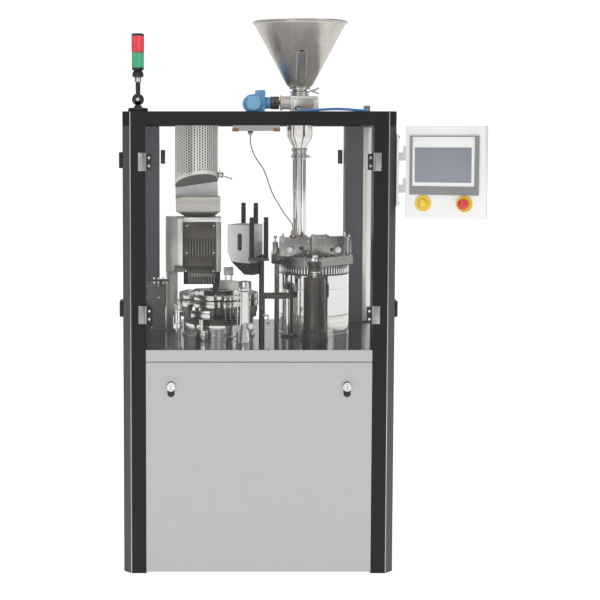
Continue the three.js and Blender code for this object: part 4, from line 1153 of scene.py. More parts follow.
# %% Perforated drum tree
DRUM_X, DRUM_Y, DRUM_RADIUS = -236, 25, 88
DRUM_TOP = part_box("capsule_hopper")[1][2] * TO_MM - 6
FLOOR_Z, FLOOR_X_SLOPE, FLOOR_Y_SLOPE = 1463, 0.148, -0.398
lengths = ["Drum Radius", "Hole Radius", "Cell Width", "Cell Height", "Sheet"]
perforate, given, result = new_tree("perforated_drum", lengths)
cell = add_node(
    perforate, "GeometryNodeCurvePrimitiveQuadrilateral",
    {"Width": given.outputs["Cell Width"], "Height": given.outputs["Cell Height"]},
)
hole = add_node(
    perforate, "GeometryNodeCurvePrimitiveCircle", {"Resolution": 10, "Radius": given.outputs["Hole Radius"]}
)
outlines = add_node(perforate, "GeometryNodeJoinGeometry")
perforate.links.new(cell.outputs["Curve"], outlines.inputs["Geometry"])
perforate.links.new(hole.outputs["Curve"], outlines.inputs["Geometry"])
plate = add_node(perforate, "GeometryNodeFillCurve", {"Curve": outlines.outputs["Geometry"]})
copies = add_node(
    perforate, "GeometryNodeInstanceOnPoints",
    {"Points": given.outputs["Geometry"], "Instance": plate.outputs["Mesh"]},
)
flat = add_node(perforate, "GeometryNodeRealizeInstances", {"Geometry": copies.outputs["Instances"]})
place = add_node(perforate, "GeometryNodeInputPosition")
split = add_node(perforate, "ShaderNodeSeparateXYZ", {"Vector": place.outputs["Position"]})
angle = add_node(
    perforate, "ShaderNodeMath", {0: split.outputs["X"], 1: given.outputs["Drum Radius"]}, operation="DIVIDE"
)
sine = add_node(perforate, "ShaderNodeMath", {0: angle.outputs[0]}, operation="SINE")
cosine = add_node(perforate, "ShaderNodeMath", {0: angle.outputs[0]}, operation="COSINE")
round_x = add_node(
    perforate, "ShaderNodeMath", {0: sine.outputs[0], 1: given.outputs["Drum Radius"]}, operation="MULTIPLY"
)
round_y = add_node(
    perforate, "ShaderNodeMath", {0: cosine.outputs[0], 1: given.outputs["Drum Radius"]},
    operation="MULTIPLY",
)
wrapped = add_node(
    perforate, "ShaderNodeCombineXYZ",
    {"X": round_x.outputs[0], "Y": round_y.outputs[0], "Z": split.outputs["Y"]},
)
drum_sheet = add_node(
    perforate, "GeometryNodeSetPosition",
    {"Geometry": flat.outputs["Geometry"], "Position": wrapped.outputs["Vector"]},
)
welded = add_node(
    perforate, "GeometryNodeMergeByDistance",
    {"Geometry": drum_sheet.outputs["Geometry"], "Distance": 0.00005},
)
thick = add_node(
    perforate, "GeometryNodeExtrudeMesh",
    {"Mesh": welded.outputs["Geometry"], "Offset Scale": given.outputs["Sheet"], "Individual": False},
    mode="FACES",
)
backed = add_node(perforate, "GeometryNodeJoinGeometry")
flipped = add_node(perforate, "GeometryNodeFlipFaces", {"Mesh": welded.outputs["Geometry"]})
perforate.links.new(thick.outputs["Mesh"], backed.inputs["Geometry"])
perforate.links.new(flipped.outputs["Mesh"], backed.inputs["Geometry"])
sealed = add_node(
    perforate, "GeometryNodeMergeByDistance", {"Geometry": backed.outputs["Geometry"], "Distance": 0.00005}
)
painted = add_node(
    perforate, "GeometryNodeSetMaterial",
    {"Geometry": sealed.outputs["Geometry"], "Material": given.outputs["Finish"]},
)
placed = add_node(
    perforate, "GeometryNodeTransform",
    {"Geometry": painted.outputs["Geometry"], "Translation": (DRUM_X * MM, DRUM_Y * MM, 0)},
)
final = add_node(perforate, "GeometryNodeRealizeInstances", {"Geometry": placed.outputs["Geometry"]})
perforate.links.new(final.outputs["Geometry"], result.inputs["Geometry"])
print("tree", perforate.name, "has", len(perforate.nodes), "nodes")

# %% [markdown]
# The cells are laid out column by column and stop above the slanting floor. Rims, floor, liner and the
# bearing of the gate lever are plain pieces; the floor and the liner are dark as painted shade of the drum's
# inside.

# %% Perforated drum
around = 50
cell_width = 2 * math.pi * DRUM_RADIUS / around
cell_height = 11.0
points = []
for i in range(around):
    x = (i + 0.5) * cell_width
    theta = x / DRUM_RADIUS
    edge_x, edge_y = DRUM_RADIUS * math.sin(theta), DRUM_RADIUS * math.cos(theta)
    bottom = FLOOR_Z + FLOOR_X_SLOPE * edge_x + FLOOR_Y_SLOPE * edge_y + 8
    stagger = cell_height / 2 * (i % 2)
    z = DRUM_TOP - 10 - stagger
    while z - cell_height / 2 > bottom:
        points.append(Vector((x, z, 0)) * MM)
        z -= cell_height
start = bpy.data.meshes.new("drum_cells")
start.from_pydata(points, [], [])
values = {
    "Drum Radius": (DRUM_RADIUS - 1) * MM, "Hole Radius": 3.9 * MM, "Cell Width": cell_width * MM * 0.9999,
    "Cell Height": cell_height * MM, "Sheet": 1.0 * MM, "Finish": PUNCHED_SHEET,
}
plain_from_tree("capsule_drum_perforated", start, perforate, values, "cabinet",
                replaces=("capsule_hopper",))

drum_rims = bmesh.new()
drum_axis = upright(DRUM_X, DRUM_Y, 0)
profile = [
    (DRUM_RADIUS - 2, DRUM_TOP - 12), (DRUM_RADIUS + 0.4, DRUM_TOP - 12), (DRUM_RADIUS + 0.4, DRUM_TOP),
    (DRUM_RADIUS + 14, DRUM_TOP), (DRUM_RADIUS + 14, DRUM_TOP + 5.8), (DRUM_RADIUS - 2, DRUM_TOP + 5.8),
    (DRUM_RADIUS - 2, DRUM_TOP - 12),
]
turned(drum_rims, profile, drum_axis, 96)
sides = 96
rows = []
inside, outside = DRUM_RADIUS - 2, DRUM_RADIUS + 0.5
for radius, lift in ((inside, 0), (outside, 0), (outside, 15), (inside, 15)):
    ring = []
    for i in range(sides):
        angle = 2 * math.pi * i / sides
        x, y = math.cos(angle), math.sin(angle)
        z = FLOOR_Z + (FLOOR_X_SLOPE * x + FLOOR_Y_SLOPE * y) * DRUM_RADIUS + lift
        ring.append(drum_rims.verts.new((DRUM_X + radius * x, DRUM_Y + radius * y, z)))
    rows.append(ring)
stitch(drum_rims, rows, looped=True)
block(
    drum_rims, (DRUM_X - 2, DRUM_Y - DRUM_RADIUS - 0.8, 1512),
    (DRUM_X + 2, DRUM_Y - DRUM_RADIUS + 0.6, DRUM_TOP - 6), 0.3,
)
finish_piece("capsule_drum_rims", drum_rims, PUNCHED_SHEET)
# The floor plate takes the dark sheet colour as painted shade inside the drum.
floor_plate = bmesh.new()
ring = []
for level in (0, 2):
    ring.append([])
    for i in range(sides):
        angle = 2 * math.pi * i / sides
        x, y = (DRUM_RADIUS - 2.4) * math.cos(angle), (DRUM_RADIUS - 2.4) * math.sin(angle)
        z = FLOOR_Z + FLOOR_X_SLOPE * x + FLOOR_Y_SLOPE * y + level + 0.5
        ring[-1].append(floor_plate.verts.new((DRUM_X + x, DRUM_Y + y, z)))
floor_plate.faces.new(ring[0][::-1])
floor_plate.faces.new(ring[1])
stitch(floor_plate, ring)
finish_piece("capsule_drum_floor", floor_plate, SHADE_DARK_SHEET)
# A dark sheet inside the perforated drum: painted shade of the drum's shadowed inside, seen through the
# holes.
shade_liner = bmesh.new()
profile = [
    (DRUM_RADIUS - 8, 1502), (DRUM_RADIUS - 6, 1502), (DRUM_RADIUS - 6, DRUM_TOP + 4),
    (DRUM_RADIUS - 8, DRUM_TOP + 4), (DRUM_RADIUS - 8, 1502),
]
turned(shade_liner, profile, drum_axis, 64)
finish_piece("capsule_drum_shade_liner", shade_liner, DARK_STEEL)
lever_block = bmesh.new()
block(
    lever_block, (DRUM_X + DRUM_RADIUS - 1, DRUM_Y - 20, 1484), (DRUM_X + DRUM_RADIUS + 20, DRUM_Y, 1504),
    1.5,
)
finish_piece("gate_lever_bearing", lever_block, BLACK_MOULDED)
window_bar = bmesh.new()
block(window_bar, (-237.5, 43, 1408), (-234.5, 46, 1448), 0.4)
for x in (-320, -151):
    block(window_bar, (x - 1.6, 43.2, 1407.6), (x + 1.6, 46.4, 1449), 0.4)
block(window_bar, (-321, 43.2, 1407.4), (-150, 46.2, 1410), 0.4)
finish_piece("window_frame_bars", window_bar, BRUSHED_LEVEL)
print("capsule hopper made")

# %% [markdown]
# Below the capsule drum sit the window box and the folded chute. The gate lever on the right of the drum
# lets capsules down. It rides its own body, so it turns apart from the drum.

# %% Chute and gate lever
chute = bmesh.new()
chute_x, chute_y = -236, 25
top_ring = [(-84, -25), (96, -25), (96, 78), (-84, 78)]
low_ring = [(-45, 0), (70, 0), (70, 60), (-45, 60)]
rows = []
for ring, z in ((top_ring, 1406.8), (top_ring, 1347), (low_ring, 1326)):
    rows.append([chute.verts.new((chute_x + x, chute_y + y, z)) for x, y in ring])
for upper, lower in zip(rows, rows[1:]):
    stitch(chute, [lower, upper])
chute.faces.new(rows[0])
chute.faces.new(rows[-1][::-1])
soften(chute, chute.verts, 1.5)
block(chute, (-322, -1.2, 1400), (-139, 0.6, 1406.9), 0.5)
finish_piece("capsule_chute_shell", chute, BRUSHED_LEVEL, replaces=("capsule_chute",))
chute_screws = [((x, -0.6, z), (0, -1, 0)) for x in (-310, -150) for z in (1356, 1392)]
screws("chute_screws", chute_screws, 3)

LEVER_Z = 1494
lever = bmesh.new()
bar(lever, (-140, 4.6, LEVER_Z), (-140, -4.6, LEVER_Z), 8, 32, 1)
bar(lever, (-140, 0, LEVER_Z), (-97, 0, LEVER_Z - 14), 2.8, 20)
ball(lever, (-96, 0, LEVER_Z - 14.4), 4.5, 24)
bar(lever, (-142, 0, LEVER_Z), (-142, 0, LEVER_Z + 26), 1.8, 16)
finish_piece("gate_lever_chromed", lever, MIRROR_STEEL, "lever", replaces=("gate_lever",))
print("chute and lever made")

# %% [markdown]
# The magazine's dark front plate has a row of milled slots where the capsules show, with a bright strip
# above it. A satin steel case carries it, and a comb of fingers below lets one row down at a time.

# %% Magazine body
SLOT_PITCH, SLOT_WIDTH, SLOT_COUNT, SLOT_MIDDLE = 11.4, 5.6, 9, -221.5
slot_centres = [SLOT_MIDDLE + (i - (SLOT_COUNT - 1) / 2) * SLOT_PITCH for i in range(SLOT_COUNT)]


# A plate in the xz plane with a row of upright slots left open through it.
def slotted(bm, x_range, z_range, y_range, centres, width, slot_z):
    (x0, x1), (z0, z1), (y0, y1) = x_range, z_range, y_range
    block(bm, (x0, y0, slot_z[1]), (x1, y1, z1), 1)
    block(bm, (x0, y0, z0), (x1, y1, slot_z[0]), 1)
    edges = [x0] + [v for c in centres for v in (c - width / 2, c + width / 2)] + [x1]
    for left, right in zip(edges[::2], edges[1::2]):
        block(bm, (left, y0, slot_z[0] - 1), (right, y1, slot_z[1] + 1), 0.6)


magazine = bmesh.new()
slotted(magazine, (-289, -160), (1126, 1303), (0, 12), slot_centres, SLOT_WIDTH, (1166, 1238))
MAGAZINE_FOOT, MAGAZINE_TOP = 1100.4, 1324.6
small_slots = [-224.5 + (i - 4.5) * SLOT_PITCH for i in range(10)]
slotted(magazine, (-289, -160), (1100, 1125), (-0.5, 12), small_slots, 6, (1111, 1122))
block(magazine, (-345, 88, 1100.3), (-140, 179.5, 1130), 2)
for leg_x in (-345, -170):
    block(magazine, (leg_x, 150, TABLE * TO_MM + 0.5), (leg_x + 30, 179.5, 1102), 2)
finish_piece(
    "magazine_front_plate", magazine, BROWN_STEEL, replaces=("magazine_housing",),
)
case = bmesh.new()
block(case, (-361, 52, TABLE * TO_MM + 0.5), (-314, 88, 1101), 2)
block(case, (-361.6, 12.4, MAGAZINE_FOOT), (-289.4, 89.6, MAGAZINE_TOP), 3)
block(case, (-160, 12.4, MAGAZINE_FOOT), (-136.4, 89.6, MAGAZINE_TOP), 2)
block(case, (-290, 84, MAGAZINE_FOOT), (-159, 89.6, MAGAZINE_TOP), 1)
block(case, (-361, 11.2, 1126), (-291, 13, 1320), 1)
finish_piece("magazine_case", case, CASE_STEEL)
strip = bmesh.new()
block(strip, (-289.5, 6, 1304), (-136.6, 13, 1323), 1.5)
block(strip, (-314, 9.4, 1128), (-292, 11.6, 1318), 1)
finish_piece("magazine_bright_strips", strip, ELECTROPOLISHED)
# Near-black backs in the slots and a block behind the comb fingers: painted shade of the recesses.
backs = bmesh.new()
for centre in slot_centres:
    block(backs, (centre - 2.9, 8.6, 1164), (centre + 2.9, 11, 1240), 0.4)
for centre in small_slots:
    block(backs, (centre - 3.1, 8.6, 1110), (centre + 3.1, 11, 1123), 0.4)
block(backs, (-289, 26, 1050), (-140, 36, 1100.2), 1)
finish_piece("slot_painted_shade_backs", backs, BLACK_OXIDE_AND_SHADE)
slot_highlights = bmesh.new()
# Only the right edge of each slot gets the paler strip, a painted highlight.
for centre in slot_centres:
    block(slot_highlights, (centre + 3.0, -0.5, 1166.5), (centre + 5.6, 2, 1237.5), 0.1)
finish_piece("slot_edge_highlights", slot_highlights, SLOT_EDGE_HIGHLIGHT)
magazine_screws = [((x, -0.4, z), (0, -1, 0)) for x in (-275, -166) for z in (1180, 1290)]
magazine_screws += [((x, -0.8, 1106), (0, -1, 0)) for x in (-280, -168)]
screws("magazine_screws", magazine_screws, 3.4)
clamp = bmesh.new()
block(clamp, (-327, -4, 1102), (-292, 12.2, 1122), 2)
bar(clamp, (-310, -4, 1112), (-310, -14, 1112), 6, 24, 1)
finish_piece("magazine_side_clamp", clamp, DARK_STEEL)
comb = bmesh.new()
block(comb, (-271.5, 1.4, 1082), (-160.5, 16.6, 1098.6), 1)
for i in range(10):
    centre = -216 + (i - 4.5) * SLOT_PITCH
    block(comb, (centre - 3, 3, 1055.6), (centre + 3, 15, 1084), 0.8)
finish_piece("magazine_comb_fingers", comb, DARK_STEEL, "comb", replaces=("magazine_comb",))
print("magazine made")

# %% [markdown]
# The turret is a polished drum with a dark index plate on top. The eight pairs of segment blocks on it
# carry the capsules in two rows of bores. The bores repeat, so a Geometry Nodes tree sets the bushes.

# %% Bush tree
bush_tree, given, result = new_tree("bored_bushes", ["Bore", "Wall", "Height"])
rail = add_node(
    bush_tree, "GeometryNodeCurvePrimitiveCircle", {"Resolution": 16, "Radius": given.outputs["Bore"]}
)
section = add_node(
    bush_tree, "GeometryNodeCurvePrimitiveQuadrilateral",
    {"Width": given.outputs["Wall"], "Height": given.outputs["Height"]},
)
bush = add_node(
    bush_tree, "GeometryNodeCurveToMesh",
    {"Curve": rail.outputs["Curve"], "Profile Curve": section.outputs["Curve"]},
)
copies = add_node(
    bush_tree, "GeometryNodeInstanceOnPoints",
    {"Points": given.outputs["Geometry"], "Instance": bush.outputs["Mesh"]},
)
end_tree(bush_tree, given, result, copies.outputs["Instances"])

# %% [markdown]
# The drum stands still on the table. The dark plate and its hub turn, so they ride the turret.

# %% Turret drum and plate
TURRET_X, TURRET_Y = -147, -15
table = TABLE * TO_MM + 0.3
turret_axis = upright(TURRET_X, TURRET_Y, table)
drum = bmesh.new()
profile = [
    (0, 0), (147, 0), (147, 6), (145, 8), (139, 9.5), (139, 14), (141, 15.5), (141, 38), (139.5, 39.5),
    (139.5, 42), (141, 43.5), (141, 52), (140, 53), (0, 53),
]
turned(drum, profile, turret_axis, 128)
finish_piece("turret_drum_polished", drum, MIRROR_STEEL, replaces=("turret_drum",))
drum_screws = [((TURRET_X + 144 * math.sin(a), TURRET_Y - 144 * math.cos(a), table + 7.2), (0, 0, 1))
               for a in (math.radians(15 + 30 * k) for k in range(12))]
screws("turret_foot_screws", drum_screws, 2.6)
plate = bmesh.new()
profile = [
    (0, 53.5), (139, 53.5), (141, 55.5), (141, 62), (137, 64), (137, 66), (141, 68), (141, 72), (139, 74),
    (100, 74), (96, 77), (66, 80), (60, 84), (60, 174), (55, 180), (40, 180), (38, 176), (0, 176),
]
turned(plate, profile, turret_axis, 128)
finish_piece("turret_plate_dark", plate, BROWN_STEEL, "turret", replaces=("turret_disc",))
hub_screws = bolt_circle((TURRET_X, TURRET_Y), 47, table + 180, 8)
screws("turret_hub_screws", hub_screws, 4, "turret")
print("turret drum and plate made")

# %% [markdown]
# Eight stations repeat at 45 degrees. Each has a lower and an upper block, four pegs under the lower one,
# and twelve bores in two rows.

# %% Segments, bushes and pegs
lower_blocks, upper_blocks = bmesh.new(), bmesh.new()
lower_points, upper_points, pegs = [], [], bmesh.new()
turret_screws = []
for station in range(8):
    place = upright(TURRET_X, TURRET_Y, table, 45 * (station + 0.5))
    block(lower_blocks, (-44, 111.5, 121.3), (44, 155.5, 147.6), 2, place)
    block(upper_blocks, (-42, 116.5, 152.3), (42, 155.5, 170.6), 2, place)
    for across in range(6):
        for row in (138, 149):
            x = (across - 2.5) * 12.5
            lower_points.append(place @ Vector((x, row - 2, 147.9)) * MM)
            upper_points.append(place @ Vector((x, row - 2, 170.9)) * MM)
    for across in (-33, -11, 11, 33):
        low, high = place @ Vector((across, 146, 76)), place @ Vector((across, 146, 121.6))
        bar(pegs, low, high, 4.2, 20)
        cone_place = place @ Matrix.Translation((across, 146, 0))
        turned(pegs, [(0, 96), (7.2, 96), (8, 110), (8, 120), (0, 120)], cone_place, 24)
    for across in (-36, 36):
        turret_screws.append((tuple(place @ Vector((across, 122, 170.6))), (0, 0, 1)))
    bar(pegs, place @ Vector((0, 122, 74)), place @ Vector((0, 122, 121.6)), 7, 24, 1)
ring = [(62, 122), (117, 122), (117, 143), (62, 143), (62, 122)]
turned(lower_blocks, ring, turret_axis, 96)
ring = [(62, 152.4), (122, 152.4), (122, 166.5), (62, 166.5), (62, 152.4)]
turned(upper_blocks, ring, turret_axis, 96)
finish_piece(
    "lower_segment_blocks", lower_blocks, TURNED_STEEL, "turret",
    replaces=("lower_segments",),
)
finish_piece(
    "upper_segment_blocks", upper_blocks, TURNED_STEEL, "turret",
    replaces=("upper_segments",),
)
finish_piece("segment_pegs", pegs, DARK_STEEL, "turret")
screws("segment_screws", turret_screws, 4.2, "turret")
for label, points in (("lower", lower_points), ("upper", upper_points)):
    start = bpy.data.meshes.new(label + "_bush_points")
    start.from_pydata(points, [], [])
    values = {"Bore": 3.6 * MM, "Wall": 1.6 * MM, "Height": 1.4 * MM, "Finish": DARK_STEEL}
    plain_from_tree(label + "_segment_bushes", start, bush_tree, values, "turret")
rest = bmesh.new()
rest_place = upright(TURRET_X, TURRET_Y, table, 158)
block(rest, (-22, 172, 0.3), (22, 200, 40), 2, rest_place)
block(rest, (-40, 166, 82), (40, 196, 116), 3, rest_place)
bar(rest, rest_place @ Vector((0, 184, 38)), rest_place @ Vector((0, 184, 84)), 9)
finish_piece("turret_side_rest", rest, TURNED_STEEL)
print("turret made")

# %% [markdown]
# The closing station is a tapered polished column under a curved grey-brown arm. A white nylon knob clamps
# it, and a white guard strip stands behind it.

# %% Closing station
CLOSE_X, CLOSE_Y = -49, -275
close_axis = upright(CLOSE_X, CLOSE_Y, table)
column = bmesh.new()
profile = [(0, 0), (33, 0), (33, 6), (29, 9), (27, 30), (22, 60), (20, 92), (19.5, 202), (0, 202)]
turned(column, profile, close_axis, 72)
profile = [(0, 206), (24, 206), (25.4, 208), (25.4, 238), (23, 242), (0, 242)]
turned(column, profile, close_axis, 72)
finish_piece(
    "closing_column_polished", column, MIRROR_STEEL, replaces=("closing_column",),
)
arm = bmesh.new()
outline = [(12, 18), (2, 44), (-10, 62), (-24, 80), (-44, 98), (-64, 110), (-84, 118), (-92, 108), (-96, 92),
           (-84, 84), (-62, 70), (-46, 54), (-36, 40), (-26, 22), (-16, 2), (-4, 8)]
raised(arm, outline[::-1], 203, 235.6, 3, close_axis)
finish_piece("closing_arm", arm, BRUSHED_LEVEL)
knob = bmesh.new()
knob_place = facing((0, -1, 0), CLOSE_X + 22, CLOSE_Y - 20, 923)
profile = [(0, 0), (9, 0), (11.5, 2), (12, 5), (12, 15), (10, 19), (6, 21), (0, 21.5)]
turned(knob, profile, knob_place, 48)
finish_piece("closing_knob", knob, WHITE_MOULDED)
guard = bmesh.new()
block(guard, (-77, -192, 885), (-73, -178, 1034), 1)
block(guard, (-84, -196, 885), (-64, -176, 912), 2)
finish_piece("closing_guard_strip", guard, WHITE_ENAMEL)
guard_foot = bmesh.new()
block(guard_foot, (-79, -194, table + 0.2), (-69, -178, 886), 1)
finish_piece("closing_guard_foot", guard_foot, DARK_STEEL)
head = bmesh.new()
block(head, (-129, -175, 1107), (-91, -145, 1138), 2)
finish_piece("closing_cam_block", head, GROUND_STEEL)
rods = bmesh.new()
for x in (-121, -99):
    bar(rods, (x, -160, 1087), (x, -160, 1109), 4, 20)
finish_piece("closing_head_rods", rods, TURNED_STEEL)
cap_screws = bolt_circle((CLOSE_X, CLOSE_Y), 15, table + 242, 6)
screws("closing_cap_screws", cap_screws, 3)
print("closing station made")

# %% [markdown]
# The vacuum and reject station stands at the left. A folded duct widens into a box, and a row of ejector
# pins stands in front of it on a post of its own.

# %% Suction duct and ejector pins
SUCTION_X, SUCTION_Y = -391, 110
duct = bmesh.new()
FOOT_HALF, MOUTH_HALF_X, MOUTH_HALF_Y = 26, 54, 40
rings = []
for half_x, half_y, z in (
    (FOOT_HALF, FOOT_HALF, 0), (FOOT_HALF, FOOT_HALF, 95),
    (MOUTH_HALF_X, MOUTH_HALF_Y, 127), (MOUTH_HALF_X, MOUTH_HALF_Y, 195),
):
    corners = ((-1, -1), (1, -1), (1, 1), (-1, 1))
    places = [(SUCTION_X + sx * half_x, SUCTION_Y + sy * half_y, table + z) for sx, sy in corners]
    rings.append([duct.verts.new(place) for place in places])
stitch(duct, rings)
duct.faces.new(rings[0][::-1])
duct.faces.new(rings[-1])
soften(duct, duct.verts, 2)
block(duct, (SUCTION_X - 36, SUCTION_Y - 30, table), (SUCTION_X + 36, SUCTION_Y + 30, table + 8), 2)
# The duct is drawn in the same dark sheet colour of painted shade.
finish_piece("suction_duct_folded", duct, SHADE_DARK_SHEET, replaces=("suction_duct",))
duct_screws = [((SUCTION_X + x, SUCTION_Y + y, table + 8), (0, 0, 1)) for x in (-30, 30) for y in (-24, 24)]
duct_screws += [
    ((SUCTION_X + x, SUCTION_Y - 40, table + z), (0, -1, 0)) for x in (-46, 0, 46) for z in (138, 186)
]
screws("suction_screws", duct_screws, 3.6)

ejector = bmesh.new()
bar(ejector, (-308, -130, table + 0.3), (-308, -130, 960), 11, 40, 1)
bar(ejector, (-308, -130, 890), (-308, -130, 912), 17, 40, 2)
turned(ejector, [(0, 985), (15, 985), (15, 992), (6, 1008), (0, 1008)], upright(-308, -130, 0), 40)
block(ejector, (-323, -140, 956), (-294, -120, 966), 1.5)
for x in (-320, -314, -308, -302, -297):
    bar(ejector, (x, -130, 964), (x, -130, 986), 1.6, 14, 0.3)
bar(ejector, (-326, -118, 890), (-326, -118, 942), 2.2, 16)
finish_piece("ejector_pins", ejector, MIRROR_STEEL)
rail = bmesh.new()
block(rail, (-416, 20, 1062), (-349, 34, 1070), 1.5)
block(rail, (-386, 20, 1040), (-378, 71, 1064), 1.5)
finish_piece("vacuum_rail", rail, BLACK_MOULDED)
rail_fittings = bmesh.new()
for x in (-408, -390, -372, -356):
    bar(rail_fittings, (x, 27, 1069), (x, 27, 1078), 4.5, 24)
    bar(rail_fittings, (x, 27, 1063), (x, 27, 1050), 3.2, 20)
finish_piece("vacuum_rail_fittings", rail_fittings, MIRROR_STEEL)
print("suction station made")

# %% [markdown]
# The pellet hopper is welded from sheet: a square mouth, a left side that slants in, and an obround slot for
# seeing the level. Four black plastic rods stand round it.

# %% Pellet hopper
pellet_place = upright(-112, -60, 0, -30)
PELLET_MOUTH, PELLET_SHEET = 1298.7, 1.5
hull_sheet = bmesh.new()


def sheet_panel(bm, corners, thickness):
    a, b, c = (Vector(corners[0]), Vector(corners[1]), Vector(corners[2]))
    inward = (b - a).cross(c - a).normalized() * thickness
    near = [bm.verts.new(pellet_place @ Vector(p)) for p in corners]
    far = [bm.verts.new(pellet_place @ (Vector(p) - inward)) for p in corners]
    bm.faces.new(near)
    bm.faces.new(far[::-1])
    count = len(near)
    for i in range(count):
        j = (i + 1) % count
        bm.faces.new((near[j], near[i], far[i], far[j]))


side = [(0, 1191), (17, 1151), (100, 1147), (100, PELLET_MOUTH), (0, PELLET_MOUTH)]
sheet_panel(hull_sheet, [(x, 0, z) for x, z in side], PELLET_SHEET)
sheet_panel(hull_sheet, [(x, 110, z) for x, z in side[::-1]], PELLET_SHEET)
sheet_panel(
    hull_sheet, [(0, 110, PELLET_MOUTH), (0, 110, 1191), (0, 0, 1191), (0, 0, PELLET_MOUTH)], PELLET_SHEET,
)
sheet_panel(hull_sheet, [(0, 110, 1191), (17, 110, 1151), (17, 0, 1151), (0, 0, 1191)], PELLET_SHEET)
sheet_panel(
    hull_sheet, [(100, 0, PELLET_MOUTH), (100, 0, 1147), (100, 110, 1147), (100, 110, PELLET_MOUTH)],
    PELLET_SHEET,
)
rim = [(17, 0, 1151), (100, 0, 1147), (100, 110, 1147), (17, 110, 1151)]
spout = [(60, 30, 1098.4), (100, 30, 1098.4), (100, 80, 1098.4), (60, 80, 1098.4)]
finish_piece(
    "pellet_hopper_sheet", hull_sheet, ELECTROPOLISHED, replaces=("pellet_hopper",),
)
# The funnel under the hopper is the same sheet, given the dark browned finish as painted shade on its
# downward faces.
funnel = bmesh.new()
for i in range(4):
    j = (i + 1) % 4
    sheet_panel(funnel, [rim[i], spout[i], spout[j], rim[j]], PELLET_SHEET)
finish_piece("pellet_funnel_painted_shade", funnel, BROWN_STEEL)
outlet = bmesh.new()
block(outlet, (114, 52, TABLE * TO_MM + 0.4), (130.5, 68, 1180), 2, pellet_place)
block(outlet, (99, 52, 1150), (116, 68, 1172), 1, pellet_place)
finish_piece("pellet_stand", outlet, BROWN_STEEL)
slot_place = pellet_place @ facing((0, -1, 0), 56, -0.3, 1231)
# A black obround fills the sight slot: painted shade of the hopper's dark inside.
sight = bmesh.new()
raised(sight, obround(9, 58, 10), -0.6, 1.0, 0.3, slot_place)
finish_piece("pellet_sight_slot_shade", sight, BLACK_MOULDED)
slot_rim = bmesh.new()
outer, inner = obround(20, 70, 10), obround(9.4, 58.4, 10)
levels = []
for outline, level in ((inner, 0), (outer, 0), (outer, 1.6), (inner, 1.6)):
    levels.append([slot_rim.verts.new(slot_place @ Vector((x, y, level))) for x, y in outline])
stitch(slot_rim, levels, looped=True)
finish_piece("pellet_sight_rim", slot_rim, MIRROR_STEEL)
black_rods = bmesh.new()
GUARD_RODS = [(-45, 60, 1120, 1381), (4, 30, 1120, 1381), (-18, -130, 1171, 1332), (39, -110, 1171, 1332)]
for x, y, low, high in GUARD_RODS:
    profile = [(0, low), (9.6, low), (9.6, high - 16), (8, high - 15), (8, high - 12), (9.6, high - 11),
               (9.6, high - 3), (7, high - 0.6), (0, high)]
    turned(black_rods, profile, upright(x, y, 0), 32)
finish_piece("black_guard_rods", black_rods, BLACK_OXIDE_AND_SHADE)
rod_feet = bmesh.new()
block(rod_feet, (-32, -142, 1160), (50, -98, 1171), 2)
for x, y in ((-45, 60), (4, 30)):
    bar(rod_feet, (x, y, 1200), (x - 13.5, y - 23.4, 1200), 5, 24)
finish_piece("black_rod_brackets", rod_feet, BROWN_STEEL)
print("pellet station made")

# %% [markdown]
# The dosing station is a wide polished drum with a finned ring on it. The fins are alike, so one fin is
# made and a Geometry Nodes tree sets it round the ring at an even pitch.

# %% Round-row tree
lengths = ["Radius", "Centre X", "Centre Y", "Height"]
row_tree, given, result = new_tree("pieces_round_a_ring", lengths, ["Count"])
circle = add_node(
    row_tree, "GeometryNodeMeshCircle",
    {"Vertices": given.outputs["Count"], "Radius": given.outputs["Radius"]},
)
index = add_node(row_tree, "GeometryNodeInputIndex")
share = add_node(
    row_tree, "ShaderNodeMath", {0: index.outputs["Index"], 1: given.outputs["Count"]}, operation="DIVIDE"
)
turn = add_node(row_tree, "ShaderNodeMath", {0: share.outputs[0], 1: 2 * math.pi}, operation="MULTIPLY")
spin = add_node(row_tree, "ShaderNodeCombineXYZ", {"Z": turn.outputs[0]})
copies = add_node(
    row_tree, "GeometryNodeInstanceOnPoints",
    {
        "Points": circle.outputs["Mesh"], "Instance": given.outputs["Geometry"],
        "Rotation": spin.outputs["Vector"],
    },
)
centre = add_node(
    row_tree, "ShaderNodeCombineXYZ",
    {"X": given.outputs["Centre X"], "Y": given.outputs["Centre Y"], "Z": given.outputs["Height"]},
)
moved = add_node(
    row_tree, "GeometryNodeTransform",
    {"Geometry": copies.outputs["Instances"], "Translation": centre.outputs["Vector"]},
)
end_tree(row_tree, given, result, moved.outputs["Geometry"])


def round_row(name, shape, count, radius, centre, height, finish, body):
    start = bpy.data.meshes.new(name + "_one")
    shape.to_mesh(start)
    shape.free()
    for vertex in start.vertices:
        vertex.co *= MM
    values = {
        "Count": count, "Radius": radius * MM, "Centre X": centre[0] * MM, "Centre Y": centre[1] * MM,
        "Height": height * MM, "Finish": finish,
    }
    plain_from_tree(name, start, row_tree, values, body)


# %% [markdown]
# The drum and its base stand still. The ring core and the fins turn with the dosing disc.

# %% Dosing drum and finned ring
DOSING_X, DOSING_Y = 242, 44
dosing_axis = upright(DOSING_X, DOSING_Y, table)


def at_dosing(x, y, z):
    return dosing_axis @ Vector((x, y, z))


